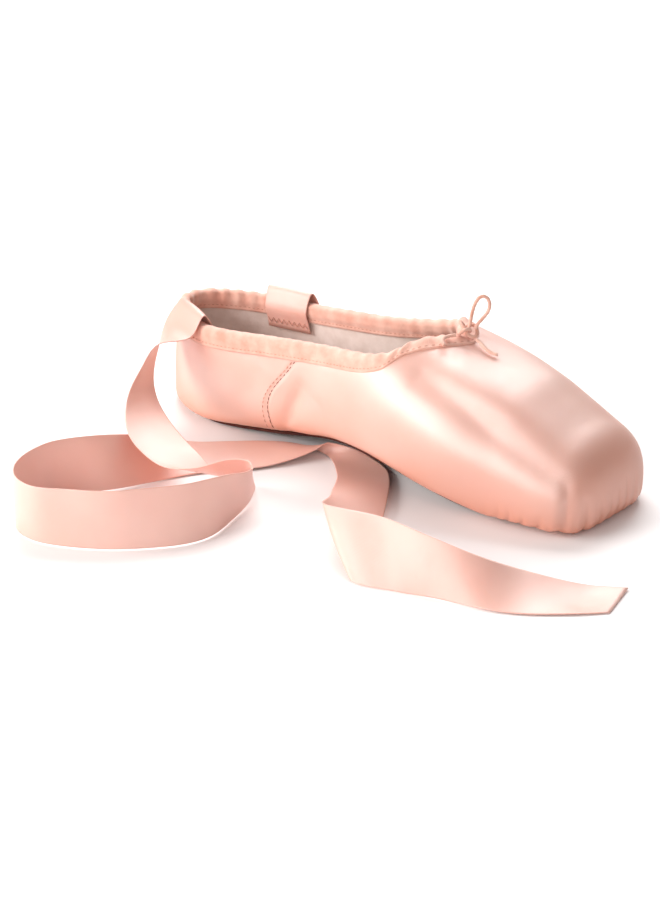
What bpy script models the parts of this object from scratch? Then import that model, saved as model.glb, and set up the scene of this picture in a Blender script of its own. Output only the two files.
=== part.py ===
"""One pointe shoe on its sole, with its ribbons and the drawstring's bow.

Metres, +Z up. The origin is the heel's resting spot, the toe points along +X and the camera's side
of the shoe is -Y. The last is straight, so the shoe fits either foot.
"""
import math
from collections import namedtuple

import bmesh
import bpy
from mathutils import Vector

# Sizes of the last
LENGTH = 0.235
BALL_WIDTH = 0.080
CROWN_HEIGHT = 0.060
ARCH_LIFT = 0.0100
HEEL_SPOT = 0.025

# Sizes of what is made over it
WALL = 0.0018
SOLE_THICKNESS = 0.0016
SOLE_MARGIN = 0.0065
SOLE_BEVEL = 0.0006
INSOLE_THICKNESS = 0.0020
INSOLE_MARGIN = 0.0090
TURNED_MARGIN = 0.0150
SEAM_STEP = 0.0005
SEAM_RUN = 0.0025
SEAM_FADE = 0.0080
BINDING_WIDTH = 0.0072
BINDING_THICKNESS = 0.0008
BINDING_GAP = 0.0005
CLEARANCE = 0.0003
PLEAT_DEPTH = 0.0006
PLEATS_REACH = 0.024
THROAT_POINT = 0.0115
THROAT_POINT_HALF = 0.016
THROAT_ROUND = 0.0025
# The throat's point is in the shoe's front half, and the heel's edge runs straight on
THROAT_HALF = 0.5
SOLE_BACK_INSET = 0.007
SOLE_TOE_INSET = 0.030
SOLE_HEEL_ROUND = 0.024
SOLE_TOE_ROUND = 0.030
INSOLE_BACK_INSET = 0.012
INSOLE_TOE_INSET = 0.018

# Ribbons and drawstring
RIBBON_WIDTH = 0.0245
RIBBON_THICKNESS = 0.0006
CORD_THICKNESS = 0.0016
BOW_SIZE = 0.011

# How finely the solids are faceted
RIBS = 96
RIB_POINTS = 14
SOLE_SECTIONS = 30
SOLE_COLUMNS = 5
RIBBON_STEP = 0.0065
DENSE = 120

SATIN = (0.86, 0.60, 0.50)
RIBBON_SATIN = (0.87, 0.56, 0.45)
COTTON = (0.88, 0.62, 0.50)
CORD_COTTON = (0.84, 0.62, 0.53)
SOCK = (0.66, 0.56, 0.52)
SOLE_LEATHER = (0.20, 0.09, 0.06)

BACK = -HEEL_SPOT
TIP = LENGTH - HEEL_SPOT
UPPER_FLOOR = SOLE_THICKNESS + CLEARANCE

# The last from heel to toe: along is a share of LENGTH, half of half BALL_WIDTH, crown and widest
# are heights as shares of CROWN_HEIGHT, drop is how far the underside lies under the sole's upper
# face as a share of SOLE_THICKNESS, and lift is a share of ARCH_LIFT.
Section = namedtuple("Section", "along half crown widest drop lift")
LAST = (
    Section(0.00, 0.490, 1.23, 0.11, 0.00, 0.00),
    Section(0.15, 0.695, 1.23, 0.17, 0.00, 0.00),
    Section(0.30, 0.655, 1.19, 0.25, 0.00, 0.27),
    Section(0.44, 0.690, 1.13, 0.20, 0.00, 0.85),
    Section(0.58, 0.915, 1.08, 0.21, 0.00, 1.00),
    Section(0.71, 0.995, 0.98, 0.19, 0.00, 0.55),
    Section(0.82, 0.905, 0.86, 0.18, 0.00, 0.00),
    Section(0.88, 0.870, 0.74, 0.18, 0.05, 0.00),
    Section(0.94, 0.795, 0.62, 0.18, 0.60, 0.00),
    Section(1.00, 0.645, 0.55, 0.17, 0.90, 0.00),
)

# The collar's height: along is a share of LENGTH, height of CROWN_HEIGHT
Edge = namedtuple("Edge", "along height")
COLLAR = (
    Edge(0.000, 0.795),
    Edge(0.150, 0.750),
    Edge(0.350, 0.810),
    Edge(0.500, 0.875),
    Edge(0.575, 0.940),
    Edge(0.605, 1.015),
    Edge(0.640, 1.150),
    Edge(0.680, 1.300),
)

# The side seam from the collar down: along is a share of LENGTH, height of CROWN_HEIGHT
SIDE_SEAM = (
    Edge(0.385, 0.80),
    Edge(0.350, 0.60),
    Edge(0.315, 0.42),
    Edge(0.305, 0.28),
    Edge(0.320, 0.10),
)

# A ribbon's way on the shoe, as its two edges. place is a share of the way round from the toe by the
# far side. down is a depth on the wall as a share of RIBBON_WIDTH: more than 0 inside, 0 over the
# edge, less than 0 outside. slack is how far it stands off, as a share of RIBBON_WIDTH.
Tuck = namedtuple("Tuck", "place down other_place other_down slack")
NEAR_TUCKS = (
    Tuck(0.667, 0.12, 0.667, 1.12, 0.00),
    Tuck(0.635, 0.12, 0.630, 1.12, 0.02),
    Tuck(0.612, 0.15, 0.600, 1.13, 0.05),
    Tuck(0.600, 0.17, 0.575, 1.08, 0.08),
    Tuck(0.592, 0.22, 0.556, 0.80, 0.12),
    Tuck(0.587, 0.16, 0.546, 0.42, 0.15),
    Tuck(0.585, 0.00, 0.541, 0.00, 0.13),
    Tuck(0.584, -0.18, 0.538, -0.18, 0.17),
)
FAR_TUCKS = (
    Tuck(0.373, 0.50, 0.419, 0.50, 0.00),
    Tuck(0.373, 0.30, 0.419, 0.30, 0.02),
    Tuck(0.373, 0.06, 0.419, 0.06, 0.05),
    Tuck(0.373, 0.00, 0.419, 0.00, 0.16),
    Tuck(0.373, -0.12, 0.419, -0.12, 0.08),
    Tuck(0.373, -0.60, 0.419, -0.60, 0.05),
    Tuck(0.373, -1.15, 0.419, -1.15, 0.12),
)

# A ribbon's free stretch: one edge's x, y and z as shares of LENGTH, x from the heel's back, and the
# way from there over to the other edge as shares of RIBBON_WIDTH
Rung = namedtuple("Rung", "x y z over_x over_y over_z")
NEAR_RUNGS = (
    Rung(0.119, -0.200, 0.179, -0.60, 0.69, -0.40),
    Rung(0.135, -0.266, 0.153, -0.42, 0.81, -0.41),
    Rung(0.147, -0.309, 0.128, -0.22, 0.91, -0.35),
    Rung(0.171, -0.347, 0.106, 0.01, 0.96, -0.28),
    Rung(0.212, -0.385, 0.089, 0.35, 0.91, -0.21),
    Rung(0.258, -0.402, 0.072, 0.60, 0.78, -0.14),
    Rung(0.323, -0.414, 0.064, 0.43, 0.85, -0.30),
    Rung(0.382, -0.396, 0.072, 0.09, 0.86, -0.50),
    Rung(0.417, -0.357, 0.083, -0.15, 0.66, -0.73),
    Rung(0.447, -0.336, 0.083, -0.33, 0.57, -0.74),
    Rung(0.472, -0.351, 0.081, -0.42, 0.50, -0.74),
    Rung(0.483, -0.385, 0.087, -0.30, 0.40, -0.80),
    Rung(0.485, -0.425, 0.098, -0.14, 0.20, -0.92),
    Rung(0.479, -0.471, 0.104, 0.08, -0.08, -0.97),
    Rung(0.460, -0.515, 0.104, 0.14, -0.16, -0.97),
    Rung(0.417, -0.572, 0.104, 0.12, -0.16, -0.97),
    Rung(0.376, -0.618, 0.104, 0.05, -0.12, -0.97),
    Rung(0.315, -0.655, 0.104, 0.02, -0.10, -0.97),
    Rung(0.264, -0.680, 0.104, 0.00, 0.00, -0.97),
    Rung(0.215, -0.670, 0.104, 0.00, 0.00, -0.97),
    Rung(0.176, -0.634, 0.104, 0.00, 0.00, -0.97),
    Rung(0.154, -0.577, 0.104, 0.00, 0.00, -0.97),
    Rung(0.157, -0.513, 0.104, 0.06, -0.06, -0.97),
    Rung(0.196, -0.418, 0.094, 0.25, -0.25, -0.87),
    Rung(0.191, -0.303, 0.051, 0.70, -0.50, -0.465),
    Rung(0.224, -0.221, 0.021, 0.72, -0.66, -0.17),
    Rung(0.266, -0.174, 0.017, 0.70, -0.70, -0.12),
    Rung(0.306, -0.128, 0.013, 0.68, -0.66, -0.07),
    Rung(0.349, -0.098, 0.011, 0.55, -0.45, 0.02),
    Rung(0.385, -0.083, 0.006, 0.34, -0.26, 0.14),
    Rung(0.418, -0.085, 0.003, 0.10, -0.02, 0.24),
    Rung(0.447, -0.100, 0.004, 0.16, 0.36, 0.14),
    Rung(0.475, -0.125, 0.006, 0.36, 0.60, 0.04),
    Rung(0.515, -0.170, 0.011, 0.53, 0.75, -0.02),
    Rung(0.583, -0.272, 0.038, 0.63, 0.70, -0.25),
    Rung(0.626, -0.332, 0.062, 0.92, 0.05, -0.50),
    Rung(0.665, -0.393, 0.081, 1.08, -0.72, -0.75),
    Rung(0.787, -0.389, 0.089, 0.72, -0.66, -0.83),
    Rung(0.879, -0.393, 0.085, 0.48, -0.43, -0.79),
    Rung(0.966, -0.370, 0.064, 0.42, -0.52, -0.58),
    Rung(1.026, -0.317, 0.034, 0.45, -0.78, -0.30),
    Rung(1.098, -0.258, 0.009, 0.38, -0.88, -0.05),
    Rung(1.157, -0.214, 0.0035, 0.23, -0.89, -0.01),
)
FAR_RUNGS = (
    Rung(0.245, 0.150, 0.0160, -1.00, 0.00, 0.00),
    Rung(0.245, 0.156, 0.0048, -1.00, 0.00, 0.00),
    Rung(0.249, 0.271, 0.0032, -0.97, -0.97, 0.00),
    Rung(0.245, 0.276, 0.0105, -1.00, -1.00, 0.00),
    Rung(0.249, 0.271, 0.0175, -1.00, -1.00, 0.00),
    Rung(0.285, 0.274, 0.0175, 0.00, -1.00, 0.02),
    Rung(0.360, 0.278, 0.0140, 0.00, -1.00, 0.02),
    Rung(0.480, 0.280, 0.0070, 0.00, -1.00, 0.00),
    Rung(0.600, 0.282, 0.0040, 0.00, -1.00, 0.00),
    Rung(0.660, 0.284, 0.0060, 0.00, -1.00, 0.00),
    Rung(0.690, 0.286, 0.0200, 0.00, -1.00, 0.00),
    Rung(0.680, 0.290, 0.0360, 0.03, -1.00, 0.00),
    Rung(0.640, 0.296, 0.0380, 0.06, -1.00, 0.00),
    Rung(0.560, 0.306, 0.0260, 0.10, -0.99, 0.00),
    Rung(0.460, 0.320, 0.0200, 0.14, -0.99, 0.00),
    Rung(0.380, 0.334, 0.0260, 0.17, -0.98, 0.00),
    Rung(0.310, 0.348, 0.0280, 0.19, -0.98, 0.00),
)

# The drawstring's bow, from the middle of its knot, as shares of BOW_SIZE
Point = namedtuple("Point", "x y z")
LOOP = (
    Point(0.09, 0.05, 0.19),
    Point(0.14, 0.10, 0.62),
    Point(0.21, 0.16, 0.97),
    Point(0.33, 0.26, 1.25),
    Point(0.47, 0.36, 1.33),
    Point(0.60, 0.47, 1.23),
    Point(0.66, 0.51, 0.97),
    Point(0.60, 0.47, 0.70),
    Point(0.46, 0.35, 0.45),
    Point(0.31, 0.20, 0.19),
)

# The cord's two ends on the vamp: x and y from the middle of the knot as shares of BOW_SIZE, and
# the height of the cord's middle over the last as a share of CORD_THICKNESS
Lying = namedtuple("Lying", "x y lift")
END_TOE = (
    Lying(0.52, -0.08, 1.90),
    Lying(0.75, -0.12, 1.60),
    Lying(0.98, -0.18, 1.20),
    Lying(1.22, -0.20, 1.00),
    Lying(1.50, -0.12, 1.00),
)
END_SIDE = (
    Lying(-0.14, -0.52, 2.10),
    Lying(-0.30, -0.72, 1.90),
    Lying(-0.36, -0.94, 1.90),
    Lying(-0.30, -1.14, 1.95),
    Lying(-0.12, -1.28, 1.75),
)
KNOT_LOBE = 0.13
KNOT_DEPTH = 0.16
KNOT_FORWARD = 0.30
KNOT_LIFT = 2.85
KNOT_POINTS = 28
CORD_STEPS = 2

# How the last closes at its two ends: the radii in plan, over the top and under it
Ends = namedtuple("Ends", "heel toe heel_power toe_power")
PLAN_ENDS = Ends(0.040, 0.014, 2.0, 2.8)
TOP_ENDS = Ends(0.029, 0.015, 2.0, 2.4)
LOW_ENDS = Ends(0.007, 0.0065, 2.6, 2.2)
TOP_POWER = 2.35
LOW_POWER = 6.0

# The straight line inside the last that the ribs start from, as shares of LENGTH
SPINE_HEEL = 0.13
SPINE_TOE = 0.60


def smooth(rows, column, share):
    """The value of a table's column at a share of the length, on a smooth curve through the rows."""
    share = min(max(share, rows[0].along), rows[-1].along)
    at = [row.along for row in rows]
    value = [getattr(row, column) for row in rows]
    last = len(rows) - 1
    slope = []
    for i in range(last + 1):
        before, after = max(i - 1, 0), min(i + 1, last)
        slope.append((value[after] - value[before]) / (at[after] - at[before]))
    i = 0
    while i < last - 1 and share > at[i + 1]:
        i += 1
    run = at[i + 1] - at[i]
    t = (share - at[i]) / run
    start = (2 * t ** 3 - 3 * t ** 2 + 1) * value[i] + (t ** 3 - 2 * t ** 2 + t) * run * slope[i]
    end = (3 * t ** 2 - 2 * t ** 3) * value[i + 1] + (t ** 3 - t ** 2) * run * slope[i + 1]
    return start + end


def share_of(x):
    return (x - BACK) / LENGTH


def station(share):
    return BACK + share * LENGTH


def superellipse(share, power):
    """The height over 0 to 1 of a rounded square's quarter at a share of its width."""
    return max(1 - min(abs(share), 1) ** power, 0) ** (1 / power)


def closure(x, ends):
    """1 along the last, falling to 0 at its heel and its toe with the radii of ends."""
    heel = min(max(x - BACK, 0) / ends.heel, 1)
    toe = min(max(TIP - x, 0) / ends.toe, 1)
    return superellipse(1 - heel, ends.heel_power) * superellipse(1 - toe, ends.toe_power)


def half_width(x):
    return smooth(LAST, "half", share_of(x)) * BALL_WIDTH / 2 * closure(x, PLAN_ENDS)


def widest_height(x):
    return smooth(LAST, "widest", share_of(x)) * CROWN_HEIGHT + sole_lift(x)


def sole_lift(x):
    return max(smooth(LAST, "lift", share_of(x)), 0) * ARCH_LIFT


def top_height(x, y):
    """The last's upper side over a point of its plan."""
    widest = widest_height(x)
    crown = smooth(LAST, "crown", share_of(x)) * CROWN_HEIGHT
    across = superellipse(y / max(half_width(x), 1e-6), TOP_POWER)
    return widest + (crown - widest) * closure(x, TOP_ENDS) * across


def low_height(x, y):
    """The last's underside over a point of its plan."""
    widest = widest_height(x)
    drop = max(smooth(LAST, "drop", share_of(x)), 0) * SOLE_THICKNESS
    floor = UPPER_FLOOR + sole_lift(x) - drop
    across = superellipse(y / max(half_width(x), 1e-6), LOW_POWER)
    return widest - (widest - floor) * closure(x, LOW_ENDS) * across


def collar_height(x, y):
    """The collar's height, lower at the middle of the throat, where the drawstring pulls a point."""
    off = math.hypot(y, THROAT_ROUND) - THROAT_ROUND
    pull = (1 - min(off / THROAT_POINT_HALF, 1)) ** 1.5 if x > station(THROAT_HALF) else 0
    return smooth(COLLAR, "height", share_of(x)) * CROWN_HEIGHT - THROAT_POINT * pull


def resample(points, count, closed=False):
    """The same line as evenly spaced points."""
    line = points + points[:1] if closed else points
    runs = [0.0]
    for a, b in zip(line, line[1:]):
        runs.append(runs[-1] + (b - a).length)
    steps = count if closed else count - 1
    result = []
    i = 0
    for k in range(count):
        goal = runs[-1] * k / steps
        while i < len(runs) - 2 and runs[i + 1] < goal:
            i += 1
        part = (goal - runs[i]) / max(runs[i + 1] - runs[i], 1e-12)
        result.append(line[i].lerp(line[i + 1], min(part, 1)))
    return result


def plan_outline(count):
    """Evenly spaced points once round the last in plan, from the toe by the far side."""
    side = []
    for k in range(4 * DENSE + 1):
        x = TIP - LENGTH * (1 - math.cos(math.pi * k / (4 * DENSE))) / 2
        side.append(Vector((x, half_width(x), 0)))
    near = [Vector((p.x, -p.y, 0)) for p in reversed(side[1:-1])]
    return resample(side + near, count, closed=True)


def rib(edge):
    """The outer surface from the collar over the plan's edge to the turned-in margin below."""
    root = Vector((min(max(edge.x, station(SPINE_HEEL)), station(SPINE_TOE)), 0, 0))
    reach = edge - root
    inner = 1 - TURNED_MARGIN / reach.length
    line = []
    for k in range(DENSE + 1):
        p = root + reach * math.sin(math.pi / 2 * k / DENSE)
        line.append(Vector((p.x, p.y, top_height(p.x, p.y))))
    for k in range(1, DENSE + 1):
        p = root + reach * (1 - (1 - inner) * (k / DENSE) ** 2)
        line.append(Vector((p.x, p.y, low_height(p.x, p.y))))
    over = [p.z - collar_height(p.x, p.y) for p in line]
    k = next(k for k in range(DENSE) if over[k + 1] <= 0)
    crossing = line[k].lerp(line[k + 1], over[k] / (over[k] - over[k + 1]))
    return resample([crossing] + line[k + 1:], RIB_POINTS)


def grid_normals(grid):
    """Outward directions at the points of a grid of ribs."""
    count = len(grid)
    normals = []
    for i, line in enumerate(grid):
        before, after = grid[i - 1], grid[(i + 1) % count]
        row = []
        for j in range(len(line)):
            down = line[min(j + 1, len(line) - 1)] - line[max(j - 1, 0)]
            round_shoe = after[j] - before[j]
            row.append(down.cross(round_shoe).normalized())
        normals.append(row)
    return normals


def seam_side(point):
    """0 on the quarters and the underside, 1 on the vamp, which laps over the quarters at the side seam."""
    rows = sorted((Section(row.height, row.along, 0, 0, 0, 0) for row in SIDE_SEAM))
    seam = station(smooth(rows, "half", point.z / CROWN_HEIGHT))
    part = min(max((point.x - seam) / SEAM_RUN, 0), 1)
    above = min(max((point.z - UPPER_FLOOR - sole_lift(point.x)) / SEAM_FADE, 0), 1)
    return part * part * (3 - 2 * part) * above


def pleat_depth(rib_number, point):
    """Every second rib sinks in at the toe's lower edge, where the satin is gathered."""
    from_tip = (TIP - point.x) / PLEATS_REACH
    low = (widest_height(point.x) - point.z) / (widest_height(point.x) - UPPER_FLOOR)
    if rib_number % 2 == 0 or from_tip > 1 or low < 0:
        return 0.0
    return PLEAT_DEPTH * min(low * 2, 1) * min((1 - from_tip) * 2, 1)


def upper_surfaces():
    """The upper's outer and inner points, rib by rib from the collar down."""
    last = [rib(edge) for edge in plan_outline(RIBS)]
    normals = grid_normals(last)
    outer, inner = [], []
    for i, line in enumerate(last):
        outer.append([])
        inner.append([])
        for p, normal in zip(line, normals[i]):
            depth = pleat_depth(i, p)
            outer[i].append(p + normal * (SEAM_STEP * seam_side(p) - depth))
            inner[i].append(p - normal * (WALL + depth))
    return outer, inner


def loft(name, rings, closed=False):
    """A solid through closed rings of points, capped at its ends or joined into a loop.

    The ring's two halves face each other across a thin wall, so they are split along the same
    diagonals.
    """
    mesh = bmesh.new()
    loops = [[mesh.verts.new(p) for p in ring] for ring in rings]
    size = len(loops[0])
    pairs = list(zip(loops, loops[1:]))
    if closed:
        pairs.append((loops[-1], loops[0]))
    for a, b in pairs:
        for j in range(size):
            n = (j + 1) % size
            if j < size // 2:
                mesh.faces.new((a[j], a[n], b[n]))
                mesh.faces.new((a[j], b[n], b[j]))
            else:
                mesh.faces.new((a[j], a[n], b[j]))
                mesh.faces.new((a[n], b[n], b[j]))
    if not closed:
        mesh.faces.new(list(reversed(loops[0])))
        mesh.faces.new(loops[-1])
    bmesh.ops.recalc_face_normals(mesh, faces=mesh.faces)
    data = bpy.data.meshes.new(name)
    mesh.to_mesh(data)
    mesh.free()
    obj = bpy.data.objects.new(name, data)
    bpy.context.scene.collection.objects.link(obj)
    return obj


def paint(obj, colour, roughness):
    """Gives the piece its own plain material."""
    material = bpy.data.materials.new(obj.name)
    material.use_nodes = True
    shader = material.node_tree.nodes["Principled BSDF"]
    shader.inputs["Base Color"].default_value = (*colour, 1.0)
    shader.inputs["Roughness"].default_value = roughness
    shader.inputs["Metallic"].default_value = 0.0
    obj.data.materials.append(material)


def build_upper(outer, inner):
    rings = [a + list(reversed(b)) for a, b in zip(outer, inner)]
    upper = loft("upper", rings, closed=True)
    paint(upper, SATIN, 0.40)


def binding_leg(line):
    """The points of a rib from the collar down to the binding's hem."""
    length = 0.0
    points = [line[0]]
    for a, b in zip(line, line[1:]):
        step = (b - a).length
        if length + step >= BINDING_WIDTH:
            points.append(a.lerp(b, (BINDING_WIDTH - length) / step))
            break
        points.append(b)
        length += step
    return resample(points, 3)


def build_binding(outer, inner):
    """The tape that is folded over the collar's edge and holds the drawstring."""
    near, far = BINDING_GAP, BINDING_GAP + BINDING_THICKNESS
    rings = []
    for i in range(RIBS):
        outside, inside = binding_leg(outer[i]), binding_leg(inner[i])
        out = [(a - b).normalized() for a, b in zip(outside, inside)]
        edge = (outside[0] + inside[0]) / 2
        along = outer[(i + 1) % RIBS][0] - outer[i - 1][0]
        up = out[0].cross(along).normalized()
        ring = [a + n * far for a, n in zip(outside[::-1], out[::-1])]
        ring.append(edge + up * far * 1.4)
        ring += [b - n * far for b, n in zip(inside, out)]
        ring += [b - n * near for b, n in zip(inside[::-1], out[::-1])]
        ring.append(edge + up * near * 1.6)
        ring += [a + n * near for a, n in zip(outside, out)]
        rings.append(ring)
    binding = loft("binding", rings, closed=True)
    paint(binding, COTTON, 0.70)


def slab(name, start, stop, round_start, round_stop, margin, low, high):
    """A sheet that fills the shoe's plan inside a margin, between two heights over the plan."""
    rings = []
    middle, reach = (start + stop) / 2, (stop - start) / 2
    for k in range(1, SOLE_SECTIONS):
        x = middle - reach * math.cos(math.pi * k / SOLE_SECTIONS)
        heel = superellipse(1 - min((x - start) / round_start, 1), 2.0)
        toe = superellipse(1 - min((stop - x) / round_stop, 1), 2.4)
        full = smooth(LAST, "half", share_of(x)) * BALL_WIDTH / 2
        half = min(full * heel * toe, half_width(x)) - margin * heel * toe
        across = [half * (2 * j / (SOLE_COLUMNS - 1) - 1) for j in range(SOLE_COLUMNS)]
        bottom = [Vector((x, y * (1 - SOLE_BEVEL / max(half, SOLE_BEVEL * 2)), low(x, y))) for y in across]
        top = [Vector((x, y, high(x, y))) for y in reversed(across)]
        rings.append(bottom + top)
    return loft(name, rings)


def build_outsole():
    """The leather sole, flat on the floor at the heel and under the box."""
    def low(x, y):
        return sole_lift(x)

    def high(x, y):
        return sole_lift(x) + SOLE_THICKNESS

    start, stop = BACK + SOLE_BACK_INSET, TIP - SOLE_TOE_INSET
    outsole = slab("outsole", start, stop, SOLE_HEEL_ROUND, SOLE_TOE_ROUND, SOLE_MARGIN, low, high)
    paint(outsole, SOLE_LEATHER, 0.80)


def build_insole():
    """The sock board, on the upper's turned-in margin."""
    reach = WALL + 2 * CLEARANCE

    def low(x, y):
        step = WALL / 2
        rise_x = (low_height(x + step, y) - low_height(x - step, y)) / (2 * step)
        rise_y = (low_height(x, y + step) - low_height(x, y - step)) / (2 * step)
        return low_height(x, y) + reach * math.sqrt(1 + rise_x ** 2 + rise_y ** 2)

    def high(x, y):
        return low(x, y) + INSOLE_THICKNESS

    start, stop = BACK + INSOLE_BACK_INSET, TIP - INSOLE_TOE_INSET
    insole = slab("insole", start, stop, SOLE_HEEL_ROUND, SOLE_TOE_ROUND, INSOLE_MARGIN, low, high)
    paint(insole, SOCK, 0.85)


def on_rib(surface, place, down):
    """The point of a surface at a share of the way round the shoe and a depth under the collar."""
    number = place * RIBS
    first = surface[math.floor(number) % RIBS]
    second = surface[math.ceil(number) % RIBS]
    ends = []
    for line in (first, second):
        left = max(down, 0)
        end = line[-1]
        for a, b in zip(line, line[1:]):
            step = (b - a).length
            if left <= step:
                end = a.lerp(b, left / step)
                break
            left -= step
        ends.append(end)
    return ends[0].lerp(ends[1], number - math.floor(number))


def tucked(outer, inner, place, down, slack):
    """Where a ribbon's edge lies on the shoe: inside the wall, over the collar's edge or outside."""
    top = (on_rib(outer, place, 0) + on_rib(inner, place, 0)) / 2
    away = (on_rib(outer, place, 0) - on_rib(inner, place, 0)).normalized()
    gap = BINDING_GAP + BINDING_THICKNESS + CLEARANCE + RIBBON_THICKNESS / 2 + slack * RIBBON_WIDTH
    if down == 0:
        return top + Vector((0, 0, gap + BINDING_THICKNESS / 2))
    surface, way = (inner, -away) if down > 0 else (outer, away)
    return on_rib(surface, place, abs(down) * RIBBON_WIDTH) + way * gap


def build_ribbon(name, rungs):
    """A thin band through its rungs, each of them the band's two edges at one place."""
    lines = []
    for k in range(len(rungs) - 1):
        steps = [rungs[max(k - 1, 0)], rungs[k], rungs[k + 1], rungs[min(k + 2, len(rungs) - 1)]]
        longest = max((rungs[k + 1][e] - rungs[k][e]).length for e in (0, 1))
        count = max(1, round(longest / RIBBON_STEP))
        for n in range(count):
            lines.append([through([rung[e] for rung in steps], n / count) for e in (0, 1)])
    lines.append(rungs[-1])
    rings = []
    for k, (a, b) in enumerate(lines):
        before, after = lines[max(k - 1, 0)], lines[min(k + 1, len(lines) - 1)]
        forward = after[0] - before[0] + after[1] - before[1]
        face = forward.cross(b - a).normalized() * RIBBON_THICKNESS / 2
        rings.append([a + face, b + face, b - face, a - face])
    ribbon = loft(name, rings)
    paint(ribbon, RIBBON_SATIN, 0.42)


def through(points, t):
    """A smooth curve between the second and the third of four points."""
    p, a, b, q = points
    span = max((b - a).length, 1e-6)
    lead = (b - p) * (span / max((b - a).length + (a - p).length, 1e-6))
    tail = (q - a) * (span / max((q - b).length + (b - a).length, 1e-6))
    return (a * (2 * t ** 3 - 3 * t ** 2 + 1) + lead * (t ** 3 - 2 * t ** 2 + t)
            + b * (3 * t ** 2 - 2 * t ** 3) + tail * (t ** 3 - t ** 2))


def ribbon_rungs(outer, inner, tucks, rows):
    """A ribbon's rungs, first on the shoe and then off it."""
    rungs = []
    for t in tucks:
        edge = tucked(outer, inner, t.place, t.down, t.slack)
        rungs.append([edge, tucked(outer, inner, t.other_place, t.other_down, t.slack)])
    for row in rows:
        edge = Vector((station(row.x), row.y * LENGTH, row.z * LENGTH))
        over = Vector((row.over_x, row.over_y, row.over_z)) * RIBBON_WIDTH
        rungs.append([edge, edge + over])
    return rungs


def cord(name, points, closed=False):
    """A round cord along its points."""
    data = bpy.data.curves.new(name, "CURVE")
    data.dimensions = "3D"
    data.bevel_depth = CORD_THICKNESS / 2
    data.bevel_resolution = 2
    data.use_fill_caps = not closed
    spline = data.splines.new("POLY")
    spline.points.add(len(points) - 1)
    for place, p in zip(spline.points, points):
        place.co = (*p, 1.0)
    spline.use_cyclic_u = closed
    obj = bpy.data.objects.new(name, data)
    bpy.context.scene.collection.objects.link(obj)
    paint(obj, CORD_COTTON, 0.75)


def curved(points):
    """A smooth line through the points."""
    line = []
    for k in range(len(points) - 1):
        steps = [points[max(k - 1, 0)], points[k], points[k + 1], points[min(k + 2, len(points) - 1)]]
        line += [through(steps, n / CORD_STEPS) for n in range(CORD_STEPS)]
    return line + [points[-1]]


def build_drawstring(throat):
    """The knot at the throat's point with its upright loop and its two ends."""
    x, y = throat.x + KNOT_FORWARD * BOW_SIZE, throat.y
    middle = Vector((x, y, top_height(x, y) + KNOT_LIFT * CORD_THICKNESS))
    slope = (top_height(x + BOW_SIZE, y) - top_height(x, y)) / BOW_SIZE
    knot = []
    for k in range(KNOT_POINTS):
        t = 2 * math.pi * k / KNOT_POINTS
        a = (math.sin(t) + 2 * math.sin(2 * t)) * KNOT_LOBE * BOW_SIZE
        b = (math.cos(t) - 2 * math.cos(2 * t)) * KNOT_LOBE * BOW_SIZE
        knot.append(middle + Vector((a, b, a * slope - math.sin(3 * t) * KNOT_DEPTH * BOW_SIZE)))
    cord("drawstring_knot", knot, closed=True)
    cord("drawstring_loop", curved([middle + Vector(p) * BOW_SIZE for p in LOOP]))
    for name, rows in (("drawstring_end_a", END_TOE), ("drawstring_end_b", END_SIDE)):
        line = []
        for row in rows:
            at = middle + Vector((row.x, row.y, 0)) * BOW_SIZE
            line.append(Vector((at.x, at.y, top_height(at.x, at.y) + row.lift * CORD_THICKNESS)))
        cord(name, curved(line))


def main():
    for obj in list(bpy.data.objects):
        bpy.data.objects.remove(obj, do_unlink=True)
    outer, inner = upper_surfaces()
    build_upper(outer, inner)
    build_binding(outer, inner)
    build_outsole()
    build_insole()
    build_ribbon("ribbon_near", ribbon_rungs(outer, inner, NEAR_TUCKS, NEAR_RUNGS))
    build_ribbon("ribbon_far", ribbon_rungs(outer, inner, FAR_TUCKS, FAR_RUNGS))
    build_drawstring(outer[0][0])


main()
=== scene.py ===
# %% [markdown]
# # A pointe shoe, cell by cell
#
# The frame that `part.py` made holds the sizes, the collision and the mass. This script only makes
# the looks: finer cloth over the same last, its seams, stitches, gathers and pleats, the ribbons,
# the drawstring, their materials, the light and the camera.
#
# Metres, +Z up. The toe points along +X, the camera's side of the shoe is -Y, and the origin is the
# heel's resting spot.

# %% Tools and the frame
import math
from collections import namedtuple

import bmesh
import bpy
from mathutils import Matrix, Vector, noise


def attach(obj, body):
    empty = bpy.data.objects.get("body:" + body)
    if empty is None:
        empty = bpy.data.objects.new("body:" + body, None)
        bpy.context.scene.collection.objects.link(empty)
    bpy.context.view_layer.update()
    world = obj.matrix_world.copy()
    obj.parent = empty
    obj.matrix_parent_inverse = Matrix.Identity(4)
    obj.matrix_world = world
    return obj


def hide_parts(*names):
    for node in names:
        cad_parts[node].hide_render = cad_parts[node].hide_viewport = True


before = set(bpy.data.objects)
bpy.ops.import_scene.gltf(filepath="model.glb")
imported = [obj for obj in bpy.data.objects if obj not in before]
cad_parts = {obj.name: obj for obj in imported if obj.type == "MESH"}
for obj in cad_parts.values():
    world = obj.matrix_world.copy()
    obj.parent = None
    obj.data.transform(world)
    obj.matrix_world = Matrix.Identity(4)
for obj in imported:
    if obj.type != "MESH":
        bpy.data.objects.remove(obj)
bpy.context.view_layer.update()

# %% [markdown]
# ## Sizes
#
# The names down to BOW_SIZE are those of the CAD source. The looks could be pulled onto the solids
# with a Shrinkwrap modifier, but the solids are coarse. Working both out from the same sizes keeps
# the same form at any fineness. RIBS, OUTER_POINTS, INNER_POINTS and DENSE count the mesh's points.

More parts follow.
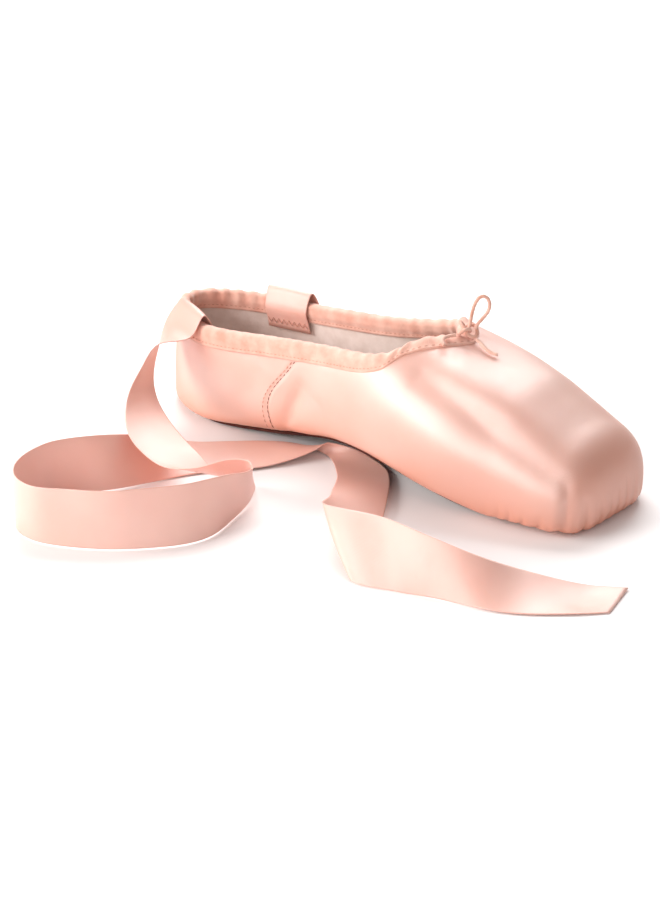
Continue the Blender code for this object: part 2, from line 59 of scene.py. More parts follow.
# %% Sizes
LENGTH = 0.235
BALL_WIDTH = 0.080
CROWN_HEIGHT = 0.060
ARCH_LIFT = 0.0100
HEEL_SPOT = 0.025
WALL = 0.0018
SOLE_THICKNESS = 0.0016
CLEARANCE = 0.0003
TURNED_MARGIN = 0.0150
SEAM_STEP = 0.0005
SEAM_RUN = 0.0008
SEAM_FADE = 0.0080
BINDING_WIDTH = 0.0072
BINDING_THICKNESS = 0.0008
THROAT_POINT = 0.0115
THROAT_POINT_HALF = 0.016
THROAT_ROUND = 0.0025
# The throat's point is in the shoe's front half, and the heel's edge runs straight on
THROAT_HALF = 0.5
RIBBON_WIDTH = 0.0245
RIBBON_THICKNESS = 0.0004
CORD_THICKNESS = 0.0016
BOW_SIZE = 0.011
# The lining is a cloth of its own, so the wall is that much thicker here than in the solids
LINING_CLOTH = 0.0006
LINED_WALL = WALL + LINING_CLOTH

RIBS = 576
OUTER_POINTS = 58
INNER_POINTS = 24
DENSE = 120

BACK = -HEEL_SPOT
TIP = LENGTH - HEEL_SPOT
UPPER_FLOOR = SOLE_THICKNESS + CLEARANCE

# %% [markdown]
# ## The last
#
# The last is the form that a shoemaker pulls the cloth over. It could be sculpted. A table is used
# instead, because any point's height can then be worked out, and all that lies on the shoe follows
# the same form. It has one row for each section from heel to toe: `along` is a share of LENGTH,
# `half` of half BALL_WIDTH, `crown` and `widest` of CROWN_HEIGHT, `drop` of SOLE_THICKNESS and
# `lift` of ARCH_LIFT.

# %% The last's tables
Section = namedtuple("Section", "along half crown widest drop lift")
LAST = (
    Section(0.00, 0.490, 1.23, 0.11, 0.00, 0.00),
    Section(0.15, 0.695, 1.23, 0.17, 0.00, 0.00),
    Section(0.30, 0.655, 1.19, 0.25, 0.00, 0.27),
    Section(0.44, 0.690, 1.13, 0.20, 0.00, 0.85),
    Section(0.58, 0.915, 1.08, 0.21, 0.00, 1.00),
    Section(0.71, 0.995, 0.98, 0.19, 0.00, 0.55),
    Section(0.82, 0.905, 0.86, 0.18, 0.00, 0.00),
    Section(0.88, 0.870, 0.74, 0.18, 0.05, 0.00),
    Section(0.94, 0.795, 0.62, 0.18, 0.60, 0.00),
    Section(1.00, 0.645, 0.55, 0.17, 0.90, 0.00),
)
Edge = namedtuple("Edge", "along height")
COLLAR = (
    Edge(0.000, 0.795),
    Edge(0.150, 0.750),
    Edge(0.350, 0.810),
    Edge(0.500, 0.875),
    Edge(0.575, 0.940),
    Edge(0.605, 1.015),
    Edge(0.640, 1.150),
    Edge(0.680, 1.300),
)
# The side seam, from the bottom up: height is a share of CROWN_HEIGHT, along of LENGTH
Seam = namedtuple("Seam", "along place")
SIDE_SEAM = (
    Seam(0.10, 0.320),
    Seam(0.28, 0.305),
    Seam(0.42, 0.315),
    Seam(0.60, 0.350),
    Seam(0.80, 0.385),
)
Ends = namedtuple("Ends", "heel toe heel_power toe_power")
PLAN_ENDS = Ends(0.040, 0.014, 2.0, 2.8)
TOP_ENDS = Ends(0.029, 0.015, 2.0, 2.4)
LOW_ENDS = Ends(0.007, 0.0065, 2.6, 2.2)
TOP_POWER = 2.35
LOW_POWER = 6.0
SPINE_HEEL = 0.13
SPINE_TOE = 0.60
print("sections of the last:", len(LAST))

# %% [markdown]
# ## From the tables to a surface
#
# Blender can loft curves through sections, but then a point's height has to be looked up in a mesh.
# Here `smooth` runs a curve through a column, and a superellipse, a circle with squarer shoulders,
# rounds each section and closes the form at heel and toe. Top and underside are then two heights
# over the shoe's plan.

# %% Widths and heights of the last
def smooth(rows, column, share):
    """A table's column at a share of the length, on a smooth curve through its rows."""
    share = min(max(share, rows[0].along), rows[-1].along)
    at = [row.along for row in rows]
    value = [getattr(row, column) for row in rows]
    last = len(rows) - 1
    i = 0
    while i < last - 1 and share > at[i + 1]:
        i += 1
    slope = []
    for k in (i, i + 1):
        before, after = max(k - 1, 0), min(k + 1, last)
        slope.append((value[after] - value[before]) / (at[after] - at[before]))
    run = at[i + 1] - at[i]
    t = (share - at[i]) / run
    start = (2 * t ** 3 - 3 * t ** 2 + 1) * value[i] + (t ** 3 - 2 * t ** 2 + t) * run * slope[0]
    end = (3 * t ** 2 - 2 * t ** 3) * value[i + 1] + (t ** 3 - t ** 2) * run * slope[1]
    return start + end


def share_of(x):
    return (x - BACK) / LENGTH


def station(share):
    return BACK + share * LENGTH


def superellipse(share, power):
    return max(1 - min(abs(share), 1) ** power, 0) ** (1 / power)


def closure(x, ends):
    heel = min(max(x - BACK, 0) / ends.heel, 1)
    toe = min(max(TIP - x, 0) / ends.toe, 1)
    return superellipse(1 - heel, ends.heel_power) * superellipse(1 - toe, ends.toe_power)


def half_width(x):
    return smooth(LAST, "half", share_of(x)) * BALL_WIDTH / 2 * closure(x, PLAN_ENDS)


def sole_lift(x):
    return max(smooth(LAST, "lift", share_of(x)), 0) * ARCH_LIFT


def widest_height(x):
    return smooth(LAST, "widest", share_of(x)) * CROWN_HEIGHT + sole_lift(x)


def top_height(x, y):
    widest = widest_height(x)
    crown = smooth(LAST, "crown", share_of(x)) * CROWN_HEIGHT
    across = superellipse(y / max(half_width(x), 1e-6), TOP_POWER)
    return widest + (crown - widest) * closure(x, TOP_ENDS) * across


def low_height(x, y):
    widest = widest_height(x)
    drop = max(smooth(LAST, "drop", share_of(x)), 0) * SOLE_THICKNESS
    floor = UPPER_FLOOR + sole_lift(x) - drop
    across = superellipse(y / max(half_width(x), 1e-6), LOW_POWER)
    return widest - (widest - floor) * closure(x, LOW_ENDS) * across


def collar_height(x, y):
    off = math.hypot(y, THROAT_ROUND) - THROAT_ROUND
    pull = (1 - min(off / THROAT_POINT_HALF, 1)) ** 1.5 if x > station(THROAT_HALF) else 0
    return smooth(COLLAR, "height", share_of(x)) * CROWN_HEIGHT - THROAT_POINT * pull


print("widest half, mm:", round(max(half_width(station(k / 100)) for k in range(101)) * 1000, 1))

# %% [markdown]
# ## Ribs
#
# Cloth on a last runs down from the collar, round the plan's edge and in underneath. A grid of such
# lines makes a better mesh here than a sculpted and remeshed one, because the seam, the pleats and
# the yarns have to follow the same directions.

# %% Lines down the last
def resample(points, count, closed=False):
    """The same line as evenly spaced points."""
    line = points + points[:1] if closed else points
    runs = [0.0]
    for a, b in zip(line, line[1:]):
        runs.append(runs[-1] + (b - a).length)
    steps = count if closed else count - 1
    result = []
    i = 0
    for k in range(count):
        goal = runs[-1] * k / steps
        while i < len(runs) - 2 and runs[i + 1] < goal:
            i += 1
        part = (goal - runs[i]) / max(runs[i + 1] - runs[i], 1e-12)
        result.append(line[i].lerp(line[i + 1], min(part, 1)))
    return result


def plan_outline(count):
    """Evenly spaced points once round the last in plan, from the toe by the far side."""
    side = []
    for k in range(4 * DENSE + 1):
        x = TIP - LENGTH * (1 - math.cos(math.pi * k / (4 * DENSE))) / 2
        side.append(Vector((x, half_width(x), 0)))
    near = [Vector((p.x, -p.y, 0)) for p in reversed(side[1:-1])]
    return resample(side + near, count, closed=True)


def rib(edge):
    """The last's surface from the collar over the plan's edge to the turned-in margin below."""
    root = Vector((min(max(edge.x, station(SPINE_HEEL)), station(SPINE_TOE)), 0, 0))
    reach = edge - root
    inner = 1 - TURNED_MARGIN / reach.length
    line = []
    for k in range(DENSE + 1):
        p = root + reach * math.sin(math.pi / 2 * k / DENSE)
        line.append(Vector((p.x, p.y, top_height(p.x, p.y))))
    for k in range(1, DENSE // 2 + 1):
        p = root + reach * (1 - (1 - inner) * (2 * k / DENSE) ** 2)
        line.append(Vector((p.x, p.y, low_height(p.x, p.y))))
    over = [p.z - collar_height(p.x, p.y) for p in line]
    k = next(k for k in range(DENSE) if over[k + 1] <= 0)
    crossing = line[k].lerp(line[k + 1], over[k] / (over[k] - over[k + 1]))
    return [crossing] + line[k + 1:]


def grid_normals(grid):
    """Outward directions at the points of a grid of ribs that closes on itself."""
    count = len(grid)
    normals = []
    for i, line in enumerate(grid):
        before, after = grid[i - 1], grid[(i + 1) % count]
        row = []
        for j in range(len(line)):
            down = line[min(j + 1, len(line) - 1)] - line[max(j - 1, 0)]
            row.append(down.cross(after[j] - before[j]).normalized())
        normals.append(row)
    return normals


# %% [markdown]
# ## Creases, seam step and pleats
#
# Satin over glued layers keeps soft folds, laps at the side seam and is gathered in pleats under
# the toe. A cloth simulation could fold it, but hardly at the places that are wanted, and a bump
# alone leaves the outline smooth. So each fold is worked out and moves the mesh.
#
# A crease is a soft trough (depth above 0) or ridge (below 0) between two places on the shoe, given
# as shares of LENGTH: x from the heel's back, y and z. Its width and depth are in metres. They were
# placed where the cloth of a worn-in shoe sinks or swells.

# %% Creases
Crease = namedtuple("Crease", "x y z to_x to_y to_z width depth")
CREASES = (
    Crease(0.660, -0.120, 0.222, 0.955, -0.112, 0.098, 0.0048, 0.0017),
    Crease(0.640, -0.150, 0.165, 0.900, -0.145, 0.080, 0.0080, -0.0013),
    Crease(0.720, -0.078, 0.235, 0.950, -0.070, 0.125, 0.0070, -0.0011),
    Crease(0.384, -0.114, 0.130, 0.344, -0.110, 0.040, 0.0034, 0.0022),
    Crease(0.432, -0.120, 0.120, 0.400, -0.116, 0.055, 0.0065, -0.0012),
    Crease(0.300, -0.118, 0.150, 0.220, -0.116, 0.055, 0.0060, 0.0008),
    Crease(0.470, -0.118, 0.070, 0.640, -0.150, 0.075, 0.0060, 0.0008),
    Crease(0.966, -0.112, 0.095, 0.970, -0.118, 0.020, 0.0022, 0.0010),
    Crease(0.610, -0.095, 0.245, 0.690, -0.112, 0.225, 0.0060, 0.0007),
    Crease(0.700, -0.040, 0.255, 0.800, -0.034, 0.235, 0.0080, 0.0006),
    Crease(0.100, -0.095, 0.150, 0.200, -0.120, 0.100, 0.0090, 0.0007),
    Crease(0.250, -0.118, 0.110, 0.300, -0.116, 0.060, 0.0050, 0.0006),
    Crease(0.240, -0.116, 0.150, 0.330, -0.110, 0.130, 0.0050, -0.0004),
    Crease(0.405, 0.114, 0.125, 0.362, 0.110, 0.060, 0.0045, 0.0010),
    Crease(0.720, 0.128, 0.200, 0.930, 0.112, 0.110, 0.0060, 0.0008),
    Crease(0.480, 0.118, 0.085, 0.620, 0.140, 0.100, 0.0070, 0.0007),
    Crease(0.060, 0.080, 0.150, 0.150, 0.110, 0.100, 0.0080, 0.0006),
)
CREASE_REACH = 3
CREASE_ENDS = 0.35
CREASE_TIP = 0.06


def crease_depth(p):
    """How far the cloth sinks at a point of the last."""
    sunk = 0.0
    for c in CREASES:
        a = Vector((station(c.x), c.y * LENGTH, c.z * LENGTH))
        b = Vector((station(c.to_x), c.to_y * LENGTH, c.to_z * LENGTH))
        run = b - a
        t = min(max((p - a).dot(run) / run.length_squared, 0), 1)
        near = (p - a - run * t).length / c.width
        if near < CREASE_REACH:
            arch = math.sin(math.pi * min(max(t, CREASE_TIP), 1 - CREASE_TIP))
            ends = CREASE_ENDS + (1 - CREASE_ENDS) * arch
            sunk += c.depth * ends * math.exp(-near * near)
    return sunk


print("creases:", len(CREASES))

# %% Side seam
GROOVE_WIDTH = 0.0010
GROOVE_DEPTH = 0.0007


def seam_place(z):
    """Where the side seam runs at a height."""
    return station(smooth(SIDE_SEAM, "place", z / CROWN_HEIGHT))


def above_sole(p):
    """0 at the upper's underside, 1 from SEAM_FADE above it."""
    return min(max((p.z - UPPER_FLOOR - sole_lift(p.x)) / SEAM_FADE, 0), 1)


def groove_depth(p):
    """The furrow that the side seam's thread pulls into the satin."""
    off = (p.x - seam_place(p.z)) / GROOVE_WIDTH
    return GROOVE_DEPTH * math.exp(-off * off) * above_sole(p)


def seam_side(p):
    """0 on the quarters and underneath, 1 on the vamp, which laps over them at the side seam."""
    part = min(max((p.x - seam_place(p.z)) / SEAM_RUN, 0), 1)
    return part * part * (3 - 2 * part) * above_sole(p)


print("side seam at the sole, mm:", round(seam_place(0) * 1000, 1))

# %% Pleats under the toe
PLEAT_REACH = 0.046
PLEAT_DEPTH = 0.0017
PLEAT_TOP = 0.0095
PLEAT_RISE = 0.0065
PLEAT_WAVER = 0.0035
# How fast the folds, their drift, the fine folds and the uneven tops repeat round the plan
FOLD_TURNS = 230
DRIFT_TURNS = 61
FINE_TURNS = 487
TOP_TURNS = 97


def pleat_depth(place, p):
    """The gathered folds that run up from under the toe, deep below and gone at the box's face."""
    from_tip = (TIP - p.x) / PLEAT_REACH
    if from_tip > 1:
        return 0.0
    turn = place if place < 0.5 else place - 1
    fold = 1 - abs(math.sin(turn * FOLD_TURNS + 1.3 * math.sin(turn * DRIFT_TURNS)))
    fine = 1 - abs(math.sin(turn * FINE_TURNS + 1))
    top = PLEAT_TOP + PLEAT_RISE * (1 - from_tip) ** 2 + PLEAT_WAVER * math.sin(turn * TOP_TURNS)
    height = min(max((top - p.z) / (top - UPPER_FLOOR), 0), 1)
    fade = min((1 - from_tip) * 2.5, 1)
    return PLEAT_DEPTH * height ** 0.8 * fade * (0.75 * fold ** 1.6 + 0.25 * fine ** 2)


print("pleats reach", PLEAT_REACH * 1000, "mm back from the tip")

# %% [markdown]
# ## Small helpers
#
# A mesh can be drawn by hand in Edit Mode, and nodes wired in the editor. In a script a few helpers
# do it: one for colours, one for a mesh from rows of points, one that closes and turns a shell, and
# one that adds a node, so that each material below reads as a short list.

# %% Colours and meshes
def colour(code, alpha=1.0):
    """A linear colour from an sRGB hex code."""
    values = [int(code[k:k + 2], 16) / 255 for k in (1, 3, 5)]
    return [v / 12.92 if v < 0.04045 else ((v + 0.055) / 1.055) ** 2.4 for v in values] + [alpha]


def link(obj):
    bpy.context.scene.collection.objects.link(obj)
    return obj


def sheet_mesh(name, rows, closed=False, uvs=None):
    """A smooth quad mesh through rows of points, with the rows joined into a loop if closed."""
    width = len(rows[0])
    points = [p for row in rows for p in row]
    faces = []
    count = len(rows) if closed else len(rows) - 1
    for i in range(count):
        a, b = i * width, (i + 1) % len(rows) * width
        for j in range(width - 1):
            faces.append((a + j, a + j + 1, b + j + 1, b + j))
    data = bpy.data.meshes.new(name)
    data.from_pydata([tuple(p) for p in points], [], faces)
    data.polygons.foreach_set("use_smooth", [True] * len(faces))
    if uvs is not None:
        layer = data.uv_layers.new(name="UVMap")
        for loop, face in ((n, f) for f in data.polygons for n in f.loop_indices):
            i, j = divmod(data.loops[loop].vertex_index, width)
            u, v = uvs(i, j)
            if closed and i == 0 and face.index >= (count - 1) * (width - 1):
                u = uvs(count, j)[0]
            layer.data[loop].uv = (u, v)
    return link(bpy.data.objects.new(name, data))


def close_shell(obj):
    """Merges doubled points, closes open ends and turns the faces outwards."""
    mesh = bmesh.new()
    mesh.from_mesh(obj.data)
    bmesh.ops.remove_doubles(mesh, verts=mesh.verts, dist=1e-6)
    bmesh.ops.holes_fill(mesh, edges=[e for e in mesh.edges if e.is_boundary], sides=0)
    bmesh.ops.recalc_face_normals(mesh, faces=mesh.faces)
    mesh.to_mesh(obj.data)
    mesh.free()


# %% Nodes
def node(tree, kind, inputs=None, stops=(), **settings):
    """Adds a node, sets its settings and its ramp's stops, and plugs or fills its inputs."""
    made = tree.nodes.new(kind)
    for key, value in settings.items():
        setattr(made, key, value)
    for key, value in (inputs or {}).items():
        if isinstance(value, bpy.types.NodeSocket):
            tree.links.new(value, made.inputs[key])
        else:
            made.inputs[key].default_value = value
    for k, (position, code) in enumerate(stops):
        made.color_ramp.elements[k].position = position
        made.color_ramp.elements[k].color = colour(code)
    return made


def new_material(name):
    material = bpy.data.materials.new(name)
    material.use_nodes = True
    tree = material.node_tree
    tree.nodes.clear()
    return material, tree


def finish_material(tree, shader):
    node(tree, "ShaderNodeOutputMaterial", {"Surface": shader.outputs[0]})


# %% [markdown]
# ## Materials
#
# **Satin** is woven so that long yarns float on its face. Here it is peach under a broad,
# strong highlight, so it goes nearly white in the light and orange where it turns away. A picture
# of cloth could be its texture. Nodes are used instead, since they keep a real size: the UV map is
# in metres, and two sine waves on it are the yarns. Real ones are too fine to show here, so they
# are drawn 0.35 mm apart. An IOR far above a cloth's 1.5 stands in for the sheen along the yarns,
# because it makes the highlight strong enough.

# %% Cloth's bumps
def weave(tree, across, along, pitch, depth, before=None):
    """A bump of fine crossed yarns on two coordinates in metres."""
    lines = []
    for coordinate, strength in ((across, 1.0), (along, 0.5)):
        turn = node(tree, "ShaderNodeMath", {0: coordinate, 1: 2 * math.pi / pitch},
                    operation="MULTIPLY").outputs[0]
        wave = node(tree, "ShaderNodeMath", {0: turn}, operation="SINE").outputs[0]
        lines.append(node(tree, "ShaderNodeMath", {0: wave, 1: strength},
                          operation="MULTIPLY").outputs[0])
    height = node(tree, "ShaderNodeMath", dict(enumerate(lines)), operation="ADD").outputs[0]
    inputs = {"Strength": 0.35, "Distance": depth, "Height": height}
    if before is not None:
        inputs["Normal"] = before
    return node(tree, "ShaderNodeBump", inputs).outputs[0]


def cloth_bump(tree, place, scale, depth, strength):
    """A bump of soft uneven cloth."""
    noise_node = node(tree, "ShaderNodeTexNoise", {"Vector": place, "Scale": scale, "Detail": 3.0})
    inputs = {"Strength": strength, "Distance": depth, "Height": noise_node.outputs[0]}
    return node(tree, "ShaderNodeBump", inputs).outputs[0]


# %% Satin
# Painted shade: a deeper tone along the sole (axis 2 is Z), at the heel's back and on the platform
PaintedShadePlace = namedtuple("PaintedShadePlace", "axis full clean")
SHADE_PAINTED_PLACES = (
    PaintedShadePlace(2, 0.002, 0.025),
    PaintedShadePlace(0, BACK + 0.003, BACK + 0.022),
    PaintedShadePlace(0, TIP, TIP - 0.013),
)


def paint_shade(tree, place, tone, code):
    """Painted shade: a deeper tone along the sole, at the heel's back and on the platform."""
    at = node(tree, "ShaderNodeSeparateXYZ", {0: place})
    clean = 1.0
    for spot in SHADE_PAINTED_PLACES:
        part = node(tree, "ShaderNodeMapRange", {
            "Value": at.outputs[spot.axis], "From Min": spot.full, "From Max": spot.clean},
            interpolation_type="SMOOTHSTEP").outputs[0]
        clean = node(tree, "ShaderNodeMath", {0: part, 1: clean}, operation="MULTIPLY").outputs[0]
    blend = node(tree, "ShaderNodeMix", {0: clean, 7: tone}, data_type="RGBA")
    blend.inputs[6].default_value = colour(code)
    return blend.outputs[2]


def satin(name, light, deep, roughness, shine, pitch=0.00035, painted_shade=None):
    material, tree = new_material(name)
    place = node(tree, "ShaderNodeTexCoord")
    flat = node(tree, "ShaderNodeSeparateXYZ", {0: place.outputs["UV"]})
    # Its tone drifts over about 45 mm, which is 22 patches to the metre
    patches = node(tree, "ShaderNodeTexNoise", {
        "Vector": place.outputs["Object"], "Scale": 22.0, "Detail": 3.0})
    tone = node(tree, "ShaderNodeValToRGB", {0: patches.outputs[0]},
                stops=((0.30, deep), (0.70, light))).outputs[0]
    # Painted shade: a deeper tone along the sole, at the heel's back and on the platform
    if painted_shade is not None:
        tone = paint_shade(tree, place.outputs["Object"], tone, painted_shade)
    soft = cloth_bump(tree, place.outputs["Object"], 90.0, 0.0006, 0.22)
    fine = weave(tree, flat.outputs[0], flat.outputs[1], pitch, 0.00004, soft)
    shader = node(tree, "ShaderNodeBsdfPrincipled", {
        "Base Color": tone, "Roughness": roughness, "Normal": fine, "IOR": shine,
        "Subsurface Weight": 0.12, "Subsurface Radius": (0.004, 0.0016, 0.0008)})
    finish_material(tree, shader)
    return material


# The last colour is painted shade along the sole, at the heel's back and on the platform
SATIN = satin("satin_upper", "#E8B7A6", "#E0A593", 0.43, 2.8, painted_shade="#D68666")
RIBBON_FACE = satin("satin_ribbon", "#EFBFB1", "#E7AE9E", 0.40, 2.1, pitch=0.0003)
print("satin yarns drawn 0.35 and 0.30 mm apart")

# %% [markdown]
# **Cotton** tape and cord are matte and plain woven. Their fibres stand off a little and catch the
# light at the edges, which is what Sheen gives. The **lining** is the same cloth in a greyish
# white, the **sock** inside is board with a nap, and the threads are cotton too. One function
# serves them all, because they differ in colour, in yarn spacing and in how deep the weave is, and
# the board is rougher. The spacings are coarser than real ones, so that they show.

# %% Cotton
def cotton(name, light, deep, pitch, depth, roughness=0.8):
    material, tree = new_material(name)
    place = node(tree, "ShaderNodeTexCoord")
    flat = node(tree, "ShaderNodeSeparateXYZ", {0: place.outputs["UV"]})
    # Uneven yarns show as specks of about 6 mm, which is 160 to the metre
    patches = node(tree, "ShaderNodeTexNoise", {
        "Vector": place.outputs["Object"], "Scale": 160.0, "Detail": 4.0})
    tone = node(tree, "ShaderNodeValToRGB", {0: patches.outputs[0]},
                stops=((0.30, deep), (0.65, light))).outputs[0]
    soft = cloth_bump(tree, place.outputs["Object"], 420.0, 0.0004, 0.35)
    fine = weave(tree, flat.outputs[0], flat.outputs[1], pitch, depth, soft)
    shader = node(tree, "ShaderNodeBsdfPrincipled", {
        "Base Color": tone, "Roughness": roughness, "Normal": fine, "Sheen Weight": 0.35,
        "Sheen Roughness": 0.6, "Specular IOR Level": 0.3})
    finish_material(tree, shader)
    return material


TAPE = cotton("cotton_tape", "#F0C0AE", "#E2A591", 0.0006, 0.00010)
LINING = cotton("cotton_lining", "#E9DDD6", "#D9CAC1", 0.0005, 0.00006)
CORD = cotton("cotton_cord", "#EFC4B3", "#D69C86", 0.0007, 0.00015)
SOCK = cotton("sock_board", "#CDB6AC", "#BFA498", 0.0009, 0.00005, 0.9)
THREAD = cotton("stitch_thread", "#D9A28C", "#B97F69", 0.0004, 0.00006)
# The seam thread's dark brown is painted shade: it stands in for the shadow in the seam's furrow
SEAM_THREAD_AND_SHADE = cotton("seam_thread", "#8A5040", "#6E3A2C", 0.0004, 0.00006)
print("cottons:", [m.name for m in (TAPE, LINING, CORD, SOCK, THREAD, SEAM_THREAD_AND_SHADE)])

# %% [markdown]
# **Leather** is split hide, buffed matte. A Voronoi texture is its grain, with cells of about 1 mm,
# and a slower noise darkens it in scuffs. Only its edge shows, so it needs no more.

# %% Sole leather
def leather(name, face, edge):
    material, tree = new_material(name)
    place = node(tree, "ShaderNodeTexCoord").outputs["Object"]
    grain = node(tree, "ShaderNodeTexVoronoi", {"Vector": place, "Scale": 900.0})
    scuffs = node(tree, "ShaderNodeTexNoise", {"Vector": place, "Scale": 60.0, "Detail": 6.0})
    tone = node(tree, "ShaderNodeValToRGB", {0: scuffs.outputs[0]},
                stops=((0.35, edge), (0.62, face))).outputs[0]
    bump = node(tree, "ShaderNodeBump", {
        "Strength": 0.4, "Distance": 0.0002, "Height": grain.outputs[0]}).outputs[0]
    shader = node(tree, "ShaderNodeBsdfPrincipled", {
        "Base Color": tone, "Roughness": 0.72, "Normal": bump, "Specular IOR Level": 0.35})
    finish_material(tree, shader)
    return material


SOLE = leather("sole_leather", "#5A2A20", "#3A1410")
print("materials:", len(bpy.data.materials))

# %% [markdown]
# ## The upper
#
# The upper is satin glued over canvas and lined. A Solidify modifier could give a sheet its wall,
# but it would carry every pleat through to the lining. Here both faces follow the same ribs, and
# only the outer one is folded. They make one shell, a ring round the shoe with no top and no floor.

# %% The wall's two faces
UNEVEN = 0.00012
UNEVEN_TURNS = 70
# Folds can add up, and may not sink the satin into the lining
SUNK_MOST = 0.0017
GIRTH_POINT = 20
RIB_LINES = [rib(edge) for edge in plan_outline(RIBS)]
BASE = [resample(line, OUTER_POINTS) for line in RIB_LINES]
NORMALS = grid_normals(BASE)
GIRTH = sum((a[GIRTH_POINT] - b[GIRTH_POINT]).length for a, b in zip(BASE, BASE[1:] + BASE[:1]))


def outer_face():
    grid = []
    for i, line in enumerate(BASE):
        row = []
        for p, normal in zip(line, NORMALS[i]):
            uneven = UNEVEN * noise.noise(p * UNEVEN_TURNS)
            sunk = pleat_depth(i / RIBS, p) + groove_depth(p) + crease_depth(p)
            row.append(p + normal * (SEAM_STEP * seam_side(p) + uneven - min(sunk, SUNK_MOST)))
        grid.append(row)
    return grid


def inner_face():
    base = [resample(line, INNER_POINTS) for line in RIB_LINES]
    grid = []
    for line, normals in zip(base, grid_normals(base)):
        grid.append([p - normal * LINED_WALL for p, normal in zip(line, normals)])
    return grid


OUTER = outer_face()
INNER = inner_face()
print("girth, mm:", round(GIRTH * 1000))

# %% One shell
# The cloth between two points of a rib, for the yarns' UV map
OUTER_RUN = 0.0014
INNER_RUN = 0.0034


def build_upper():
    rows = [a + b[::-1] for a, b in zip(OUTER, INNER)]
    closing = [row + row[:1] for row in rows]

    def unrolled(i, j):
        depth = min(j, OUTER_POINTS) * OUTER_RUN + max(j - OUTER_POINTS, 0) * INNER_RUN
        return i / RIBS * GIRTH, depth

    upper = sheet_mesh("cloth_upper", closing, closed=True, uvs=unrolled)
    close_shell(upper)
    upper.data.materials.append(SATIN)
    upper.data.materials.append(LINING)
    width = OUTER_POINTS + INNER_POINTS
    for face in upper.data.polygons:
        lined = face.index % width >= OUTER_POINTS - 1
        face.material_index = 1 if lined and face.index % width < width - 1 else 0
    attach(upper, "root")
    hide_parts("upper")
    print("upper:", len(upper.data.polygons), "faces")


build_upper()

# %% [markdown]
# ## The binding
#
# A cotton tape folded over the collar's edge holds the drawstring. It puckers where the string
# gathers it, most at the heel and at the throat. An array of one pucker along a curve would look
# printed, so the tape is rows of points round the collar, each lifted by a wave that noise makes
# uneven, and rounded over the edge by a half circle.

# %% The tape's two legs
def leg(line, reach, count):
    """The first stretch of a line down from the collar, as evenly spaced points."""
    points, length = [line[0]], 0.0
    for a, b in zip(line, line[1:]):
        step = (b - a).length
        if length + step >= reach:
            points.append(a.lerp(b, (reach - length) / step))
            break
        points.append(b)
        length += step
    return resample(points, count)


HEEL_PLACE = 0.48
HEEL_SPREAD = 0.10
THROAT_SPREAD = 0.16
GATHER_LEAST = 0.25


def gather(place):
    """How strongly the drawstring puckers the tape at a place round the collar."""
    heel = math.exp(-((place - HEEL_PLACE) / HEEL_SPREAD) ** 2)
    throat = math.exp(-(min(place, 1 - place) / THROAT_SPREAD) ** 2)
    return GATHER_LEAST + (1 - GATHER_LEAST) * max(heel, throat)


TAPE_ROUND = 840
TAPE_LEG = 9
CAP_POINTS = 5
CAP_HEIGHT = 0.72
PUCKER = 0.00042
PUCKER_RUN = 0.0034
SWELL = 0.00045
# The stitches hold the tape down at this share of its leg
STITCH_LINE = 0.80
STITCH_SPREAD = 0.07
STITCH_SINK = 0.00022
LEGS = [leg(line, BINDING_WIDTH, TAPE_LEG) for line in BASE]


def collar_spots(count):
    """Places round the collar that are evenly spaced along it, as rib numbers with fractions."""
    runs = [0.0]
    for i in range(RIBS):
        runs.append(runs[-1] + (BASE[(i + 1) % RIBS][0] - BASE[i][0]).length)
    spots, i = [], 0
    for k in range(count):
        goal = runs[-1] * k / count
        while runs[i + 1] < goal:
            i += 1
        spots.append(i + (goal - runs[i]) / max(runs[i + 1] - runs[i], 1e-9))
    return spots, runs[-1]


SPOTS, COLLAR_LENGTH = collar_spots(TAPE_ROUND)


def between(grid, spot, j):
    """A grid's point number j at a place between two ribs."""
    i = int(spot)
    return grid[i % RIBS][j].lerp(grid[(i + 1) % RIBS][j], spot - i)


LEG_NORMALS = grid_normals(LEGS)
print("collar, mm:", round(COLLAR_LENGTH * 1000))


# %% The tape
def build_binding():
    rows = []
    for k, spot in enumerate(SPOTS):
        run = COLLAR_LENGTH * k / TAPE_ROUND
        turn = run / COLLAR_LENGTH
        drift = 2.2 * noise.noise(Vector((run * 90, 0, 0)))
        pucker = PUCKER * gather(turn) * math.sin(run / PUCKER_RUN * math.pi + drift)
        outside, inside = [], []
        for j in range(TAPE_LEG):
            p, normal = between(LEGS, spot, j), between(LEG_NORMALS, spot, j).normalized()
            share = j / (TAPE_LEG - 1)
            swell = SWELL * math.sin(math.pi * min(share * 1.5, 1)) + pucker * (1 - share) ** 0.5
            stitched = -STITCH_SINK * math.exp(-((share - STITCH_LINE) / STITCH_SPREAD) ** 2)
            stand = CLEARANCE + BINDING_THICKNESS + swell + stitched
            outside.append(p + normal * stand)
            inside.append(p - normal * (LINED_WALL + stand))
        normal = between(LEG_NORMALS, spot, 0).normalized()
        up = (outside[0] - outside[2]).normalized()
        middle = (outside[0] + inside[0]) / 2
        half = (outside[0] - inside[0]).length / 2
        cap = []
        for n in range(1, CAP_POINTS + 1):
            angle = math.pi * n / (CAP_POINTS + 1)
            rise = up * half * CAP_HEIGHT * math.sin(angle)
            cap.append(middle + normal * half * math.cos(angle) + rise)
        hem_out = outside[-1] - normal * BINDING_THICKNESS
        hem_in = inside[-1] + normal * BINDING_THICKNESS
        rows.append([hem_out] + outside[::-1] + cap + inside + [hem_in])
    runs = [0.0]
    for a, b in zip(rows[0], rows[0][1:]):
        runs.append(runs[-1] + (b - a).length)
    tape = sheet_mesh("cloth_binding", rows, closed=True,
                      uvs=lambda i, j: (i / TAPE_ROUND * COLLAR_LENGTH, runs[j]))
    tape.data.materials.append(TAPE)
    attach(tape, "root")
    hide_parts("binding")
    print("binding:", len(tape.data.polygons), "faces")
    return rows


TAPE_ROWS = build_binding()

